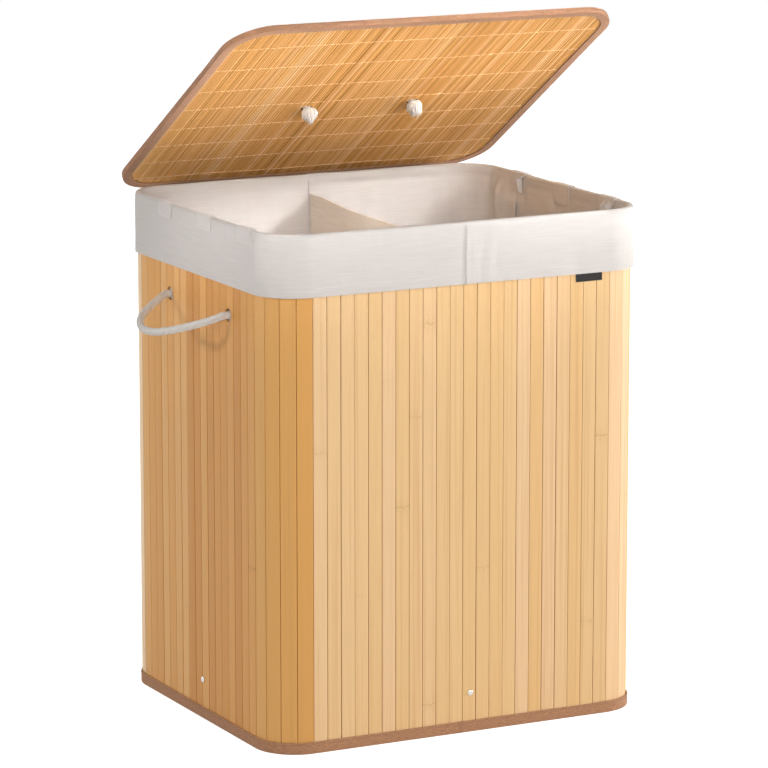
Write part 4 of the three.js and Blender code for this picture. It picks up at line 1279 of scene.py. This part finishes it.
# %% [markdown]
# ## Tabs, tag and hinge
#
# Three tabs on each side fold over the rim and hold the liner. Their cut ends are a little
# ragged, and they don't all lie flat: on the right, the back one stands off the wall and the
# front one is folded over on itself. The tag is a bare strip under the cuff. The hinge is one
# strip of cloth, sewn to the back of the cuff and round the lid's edge, and it is drawn bent
# between the two where the lid stands open.

# %% Rim tabs
TAB_OUT, TAB_IN, TAB_TOP = 3.0, -6.3, RIM + 0.7
TAB_LINE = [
    (TAB_OUT, RIM - 17), (TAB_OUT, RIM - 10), (TAB_OUT, RIM - 3), (TAB_OUT - 0.5, RIM - 0.2),
    (TAB_OUT - 1.8, TAB_TOP), (-1.5, TAB_TOP + 0.1), (TAB_IN + 1.8, TAB_TOP),
    (TAB_IN + 0.5, RIM - 0.2), (TAB_IN, RIM - 3), (TAB_IN, RIM - 9), (TAB_IN, RIM - 16),
    (TAB_IN, RIM - 24),
]


def rim_tab(side, side_name, place, centre, stand, fold, seed):
    """A tab folded over the rim: stand turns its inner leg off the wall, and fold creases it."""
    line = rounded_line([(off, 0, z) for off, z in TAB_LINE], 1.5)
    off, z = line[:, :1], line[:, 2:]
    across = even(-TAB_WIDE / 2, TAB_WIDE / 2, 1.27)
    ragged = even(-TAB_WIDE / 2, TAB_WIDE / 2, 3.4)
    rng = np.random.default_rng(seed)
    rag = [np.interp(across, ragged, rng.uniform(-0.7, 0.7, len(ragged))) for _ in range(2)]
    along = np.arange(len(line))[:, None] / (len(line) - 1)
    height = z + rag[0] * (1 - along) ** 8 + rag[1] * along**8
    snug = 0.45 * ease(np.abs(across), 15.5, TAB_WIDE / 2)
    lift = 0.35 * (1 + hills(across, z, seed + 2, 16, 12)) - snug
    away = off + np.sign(off) * lift * 0.5 * (np.abs(off) > 2)
    y = centre + across
    if stand:
        free = (off < 0) * ease(z, RIM - 0.5, RIM - 6)
        start = -9.5 - 0.14 * (RIM - z)
        heading = math.radians(stand) * free * ease(across, start, start - 2.5)
        step = across[1] - across[0]
        from_wall, along_wall = (
            np.cumsum(part(heading)[:, ::-1] * step, axis=1)[:, ::-1] for part in (np.sin, np.cos)
        )
        away = away - from_wall
        y = centre + across[-1] + step - along_wall
    if fold:
        below = ease(z, RIM - 2, RIM - 12) * (off < -3)
        crossing = np.clip((across + 14 + 0.9 * (RIM - z)) / 30, 0, 1)
        crease = np.abs(np.mod(crossing * 3.0, 1.0) - 0.5) * 2
        away = away - below * fold * crease * ease(crossing, 0, 0.3) * ease(crossing, 1, 0.8)
        y = y + below * 9 * np.sin(crossing * math.pi)
    grid = xyz(side * (SHELL_LONG / 2 + away), y, height)
    if side > 0:
        grid = grid[:, ::-1]
    name = f"{side_name}_{place}_rim_tab"
    made = cloth(grid, 0.95, across, seed + 0.5)
    add_piece(name, made, tab_tape, "hamper", "cotton", f"rim_tab_{side_name}_{place}", sharp=65)


for side, side_name in ((-1, "left"), (1, "right")):
    for number, (place, part) in enumerate(zip(("front", "middle", "back"), TAB_SHARES[side_name])):
        stand = 104.0 if (side_name, place) == ("right", "back") else 0.0
        fold = 8.0 if (side_name, place) == ("right", "front") else 0.0
        rim_tab(side, side_name, place, part * TAB_ROOM, stand, fold, 60 + number * 2 + side)

# %% Tag
tag_x, tag_z = even(153.3, 189.8, 1.5), even(563, 545, 1.0)[:, None]
curl = 0.8 * ease(tag_z, 553, 545) * (0.4 + 0.6 * np.cos((tag_x - 160) / 9))
grid = xyz(tag_x, -SHELL_DEEP / 2 - 0.5 - np.maximum(curl, 0), tag_z)
made = cloth(grid, 0.42, tag_x, 51)
add_piece("bare_tag", made, tag_fabric, "hamper", "tag_cloth", "tag", sharp=60)

# %% Cloth hinge
HINGE_WIDE = 380
path = [(218.05, 573.5), (218.05, 586), (218.05, 598), (218.1, 605), (218.6, 609.3)]
path = [(0, y, z) for y, z in path + [(220.4, 612.4), (226.5, 616.2), (233.0, 620.2)]]
lid_edge = [(0, 228.75, 630.9), (0, 229.0, 632.6), (0, 229.0, 635.5), (0, 229.0, 638.2)]
line = rounded_line(path + [tuple(p) for p in opened(lid_edge)], 1.6)
across = even(-HINGE_WIDE / 2, HINGE_WIDE / 2, 3.0)
y, z = line[:, 1:2], line[:, 2:]
sag = 0.5 * ease(y, 219.5, 226) * ease(y, 237, 230) * (1 + hills(across, z, 53, 26, 30))
grid = xyz(across, y + 0.4 * sag, z - 0.6 * sag)
hinge = mesh_object("cloth_hinge", cloth(grid, 0.9, across, 53), [liner_cotton], sharp=70)
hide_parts("hinge_leaf", "hinge_strip")
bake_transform(hinge)

shares, rise = np.array([0, 0.15, 0.5, 0.85, 1]), np.array([-1, 0.3, 0.5, 0.3, -1])
parts = []
for z in (578.0, 601.0):
    for x in np.arange(-186.0, 184, 4.3):
        line = xyz(x + shares * 3.2, 218.62 + 0.2 * rise, z)
        parts.append(tube(line, 0.22, 6, x, round_ends=False))
add_piece("cloth_hinge_stitches", merged(parts), loose_yarn, "hamper", "cotton", sharp=80)

# %% [markdown]
# ## Knots
#
# Every end of a handle is tied off. The knot is a lump of cord wound over itself, and below it
# the yarns have come apart into a soft tuft. The lump is three turns of cord, and the tuft is
# many thin yarns that leave it in the same direction, each with its own curl.

# %% Knots with frayed ends
LUMP_CORD, STUB_CORD = 3.4, 4.4
TUFT_ROOM = (0.9, 24.0)


def knot(origin, outward, tail, stub, middle, wide, yarns, seed, hang):
    """(points, faces, marks) of a knot that stands off a surface along outward.

    Its lump lies round middle (sideways, against the tail, outwards) and is tied wide. Its tuft
    leans from tail to outward by hang, and its cord goes stub far back into the surface."""
    rng = np.random.default_rng(seed)
    out_way, tail_way, middle = (np.array(v, float) for v in (outward, tail, middle))
    angle = np.linspace(0, 2 * math.pi, 40)
    parts = []
    for tilt in (0.5, -0.5, 0.05):
        up, out = np.sin(angle) * math.cos(tilt), np.sin(angle) * math.sin(tilt)
        ring = middle + wide * xyz(np.cos(angle), up, out)
        cord = tube(ring, LUMP_CORD, 16, seed + tilt, ribs=8, rib_depth=0.2, round_ends=False)
        parts.append(cord)
    stub_line = xyz(0, 0, np.linspace(-stub - STUB_CORD, 7, 8))
    parts.append(tube(stub_line, STUB_CORD, 28, seed + 2, ribs=14, rib_depth=0.12))
    fall = np.array([0, -math.cos(hang), math.sin(hang)])
    lean = np.array([0, math.sin(hang), math.cos(hang)])
    drop = np.linspace(0, 1, 7)[1:]
    for i in range(yarns):
        turn, first = rng.uniform(0, 2 * math.pi), rng.uniform(0.1, 1.2)
        reach, length = rng.uniform(7.0, 9.4), rng.triangular(4.0, 9.0, 16.0)
        spread, curl, phase = rng.uniform(-0.75, 0.06), rng.uniform(0.4, 1.3), rng.uniform(0, 6.28)
        length *= 1 - 0.55 * abs(math.cos(turn))
        sideways = math.cos(turn) * np.array([1.0, 0, 0]) + math.sin(turn) * lean
        bend = np.linspace(first, math.pi / 2, 8)
        round_lump = reach * (np.outer(np.sin(bend), sideways) - np.outer(np.cos(bend), fall))
        hanging = np.outer(reach * (1 + spread * drop), sideways) + np.outer(length * drop, fall)
        line = middle + np.vstack([round_lump, hanging])
        sway = curl * np.sin(phase + np.linspace(0, 5.5, len(line)))
        line += np.outer(sway, np.cross(sideways, fall))
        line[:, 2] = np.clip(line[:, 2], *TUFT_ROOM)
        line[:, 1] = np.maximum(line[:, 1], -21.0)
        parts.append(tube(line, rng.uniform(0.55, 1.05), 5, seed + 3 + i))
    points, faces, marks = merged(parts)
    axes = np.array([np.cross(out_way, tail_way), -tail_way, out_way])
    return np.array(origin) + points @ axes, faces, marks


for side, side_name in ((-1, "left"), (1, "right")):
    made = knot(
        (side * LID_HOLE_X, LID_HANDLE_Y, 632.3), (0, 0, -1), (0, 1, 0),
        stub=11.1, middle=(1.4, 0.2, 6.8), wide=5.3, yarns=120, seed=80 + side,
        hang=math.radians(57),
    )
    name, node = f"lid_{side_name}_tuft", f"lid_knot_{side_name}"
    add_piece(name, made, loose_yarn, "lid", "rope", node, sharp=80, move=opened)
    for end, end_name in ((-1, "front"), (1, "back")):
        inner_face = side * (SHELL_LONG / 2 - WALL_THICK + 0.9)
        made = knot(
            (inner_face, HANDLE_Y + end * HANDLE_SPAN / 2, HANDLE_Z), (-side, 0, 0), (0, 0, -1),
            stub=7.4, middle=(0, 0, 8.4), wide=4.6, yarns=60, seed=90 + 2 * side + end, hang=0.0,
        )
        name, node = f"{side_name}_{end_name}_tuft", f"handle_{side_name}_knot_{end_name}"
        add_piece(name, made, loose_yarn, "hamper", "rope", node, sharp=80)

# %% [markdown]
# ## Rivets, straps and the base
#
# A rivet goes through each wall near its foot and holds a webbing strap that carries the base
# panel. Its head is turned: a profile swept round an axis. The strap is one more sheet, bent over
# the tape inside, and the panel is a plain board with softened edges.

# %% Rivets and straps
STRAP_HALF, TAPE_DEEP, PANEL_THICK = 19, 4.1, 3.0
STRAP_GAP = 0.3 + 0.7
RIVET_FOOT = [(0.05, -5.7), (3.5, -5.7), (3.8, -5.5), (3.8, -5.0), (3.5, -4.85), (1.7, -4.8)]
RIVET_NECK = [(1.7, 0.25), (3.55, 0.3), (3.85, 0.45), (3.8, 0.75)]
RIVET_DOME = [(3.6 * math.cos(a), 0.75 + 1.05 * math.sin(a)) for a in np.linspace(0.25, 1.5, 7)]


def rivet(reach, sides, seed):
    """(points, faces, marks) of a rivet in the front wall, whose face lies at reach."""
    angle = np.arange(sides) * 2 * math.pi / sides
    points, marks = [], []
    for radius, off in RIVET_FOOT + RIVET_NECK + RIVET_DOME:
        x, z = RIVET_X + radius * np.cos(angle), RIVET_Z + radius * np.sin(angle)
        points.append(xyz(x, -reach - off, z))
        marks.append(xyz(angle / 6.28, (reach + off) * MM, seed))
    return swept(points, marks)


for name, quarter_turns, _, reach, _ in WALLS:
    to_wall = lambda points: turned(points, quarter_turns)
    made = rivet(reach, 40, 61)
    piece = mesh_object(f"{name}_rivet_turned", made, [rivet_steel], sharp=50, move=to_wall)
    dress(piece, "hamper", "rivet_steel", f"rivet_{name}")

    on_wall, on_tape = -reach + WALL_THICK + STRAP_GAP, -reach + TAPE_DEEP + STRAP_GAP
    path = [(on_wall, z) for z in (72, 60, RIVET_Z, 38, 24.5)] + [((on_wall + on_tape) / 2, 19.5)]
    path += [(on_tape, z) for z in (14.8, 9, 5.6)]
    path += [(on_tape + along, PANEL_THICK + STRAP_GAP) for along in (1.5, 14, 36, 58)]
    line = rounded_line([(0, *point) for point in path], 1.6)
    across = even(-STRAP_HALF, STRAP_HALF, 1.9)
    grid = xyz(RIVET_X + across, line[:, 1:2], line[:, 2:])
    made = cloth(grid, 1.35, across, 65)
    strap = mesh_object(f"{name}_strap_webbing", made, [strap_webbing], sharp=60, move=to_wall)
    middle, way = to_wall([(RIVET_X, on_wall, RIVET_Z)])[0], to_wall([(0, 1, 0)])[0]
    cut_holes(strap, [(middle, way, RIVET_HOLE, 6)])
    dress(strap, "hamper", "webbing", f"base_strap_{name}")

# %% Base panel
base, out = walk(SHELL, np.arange(0, AROUND, AROUND / 200))
profile = ((40, 0.0), (5.1, 0.0), (4.5, 0.4), (4.5, 2.6), (5.0, PANEL_THICK), (40, PANEL_THICK))
points = [xyz(*(base - out * inset).T, z) for inset, z in profile]
made = swept(points, [p * MM for p in points])
add_piece("base_board", made, grey_board, "hamper", "board", "base_panel")

# %% [markdown]
# ## Floor, background and light
#
# The photograph's main light is broad and comes from the front, high up. The left wall has about
# two thirds of it, partly from behind, which throws the handle's shadow forwards and down, and the
# shadows of the two knots say that a lower light stands on the right. Three narrow beams reach
# what the cuff and the lid would keep dark: the bins, the divider and the lid's underside. One more
# light keeps the back from being dark in other views. A white background is the colour of the
# floor and of the world as the camera sees them, and not more light on the hamper. The floor
# keeps the hamper's shadow.

# %% Floor
FLOOR_HALF_WIDE, BELOW_FEET = 6, -0.0004


def seen_itself(tree):
    """1 where a surface is looked at, also in a mirror or through glass, and 0 for its light."""
    seen = add_node(tree, "ShaderNodeLightPath").outputs
    through = maths("MAXIMUM", seen["Is Glossy Ray"], seen["Is Transmission Ray"])
    return maths("MAXIMUM", seen["Is Camera Ray"], through)


floor_material, shader = new_material(
    "white floor", 0.9, Base_Color=(0.82, 0.82, 0.82, 1), Emission_Color=(1, 1, 1, 1)
)
tree = shader.id_data
from_middle = add_node(tree, "ShaderNodeVectorMath", {0: object_place(tree)}, operation="LENGTH")
glow = from_to(from_middle.outputs["Value"], 0.55, 1.3, 0.84, 1.0)
fill(shader.inputs, {"Emission Strength": times(seen_itself(tree), glow)})
floor_mesh = bpy.data.meshes.new("floor")
corners = [(x * FLOOR_HALF_WIDE, y * FLOOR_HALF_WIDE, BELOW_FEET) for x, y in SQUARE]
floor_mesh.from_pydata(corners, [], [(0, 1, 2, 3)])
floor_mesh.materials.append(floor_material)
floor = bpy.data.objects.new("floor", floor_mesh)
bpy.context.scene.collection.objects.link(floor)
floor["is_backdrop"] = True
print("floor", 2 * FLOOR_HALF_WIDE, "m wide")

# %% World and lamps
world = bpy.data.worlds.new("white room")
bpy.context.scene.world = world
world.use_nodes = True
background = world.node_tree.nodes["Background"]
strength = from_to(seen_itself(world.node_tree), 0, 1, 0.2, 1.0)
fill(background.inputs, {"Color": (1, 1, 1, 1), "Strength": strength})


def soft_box(name, place, aim, wide, high, power, colour=(1, 1, 1), beam=180):
    """A lamp of power watts that looks from place to aim; beam is its spread in degrees."""
    lamp = bpy.data.lights.new(name, "AREA")
    lamp.shape, lamp.size, lamp.size_y = "RECTANGLE", wide, high
    lamp.spread = math.radians(beam)
    lamp.energy, lamp.color = power, colour
    holder = bpy.data.objects.new(name, lamp)
    bpy.context.scene.collection.objects.link(holder)
    holder.location = place
    holder.rotation_euler = (Vector(aim) - Vector(place)).to_track_quat("-Z", "Y").to_euler()
    print(name, power, "W")


COOL, WARM = (0.95, 0.98, 1.0), (1.0, 0.985, 0.96)
MIDDLE = (0, 0, 0.5)
soft_box("front_high_box", (0.3, -2.4, 1.35), MIDDLE, 1.6, 0.8, 24.2)
soft_box("left_box", (-1.8, -1.7, 1.25), MIDDLE, 0.9, 0.9, 11)
soft_box("left_back_box", (-2.2, 1.2, 1.0), (-0.25, 0, 0.45), 0.25, 0.25, 13)
soft_box("right_box", (2.3, -0.65, 0.42), MIDDLE, 0.6, 0.6, 30, WARM)
soft_box("back_box", (0.4, 2.6, 1.2), MIDDLE, 1.4, 0.9, 18)
soft_box("bin_box", (1.5, -1.6, 1.9), (-0.08, 0.2, 0.56), 0.4, 0.4, 0.48, COOL, beam=8)
soft_box("divider_box", (-1.3, -1.3, 1.5), (-0.03, 0.1, 0.56), 0.3, 0.3, 0.11, beam=7)
soft_box("lid_box", (0.8, -2.35, 0.45), (-0.24, 0.0, 0.815), 0.9, 0.1, 0.68, beam=8)

bpy.context.scene.view_settings.view_transform = "Standard"

# %% Sizes, and the end
low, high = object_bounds()
print("visual box", [round(v, 4) for v in (*low, *high)])
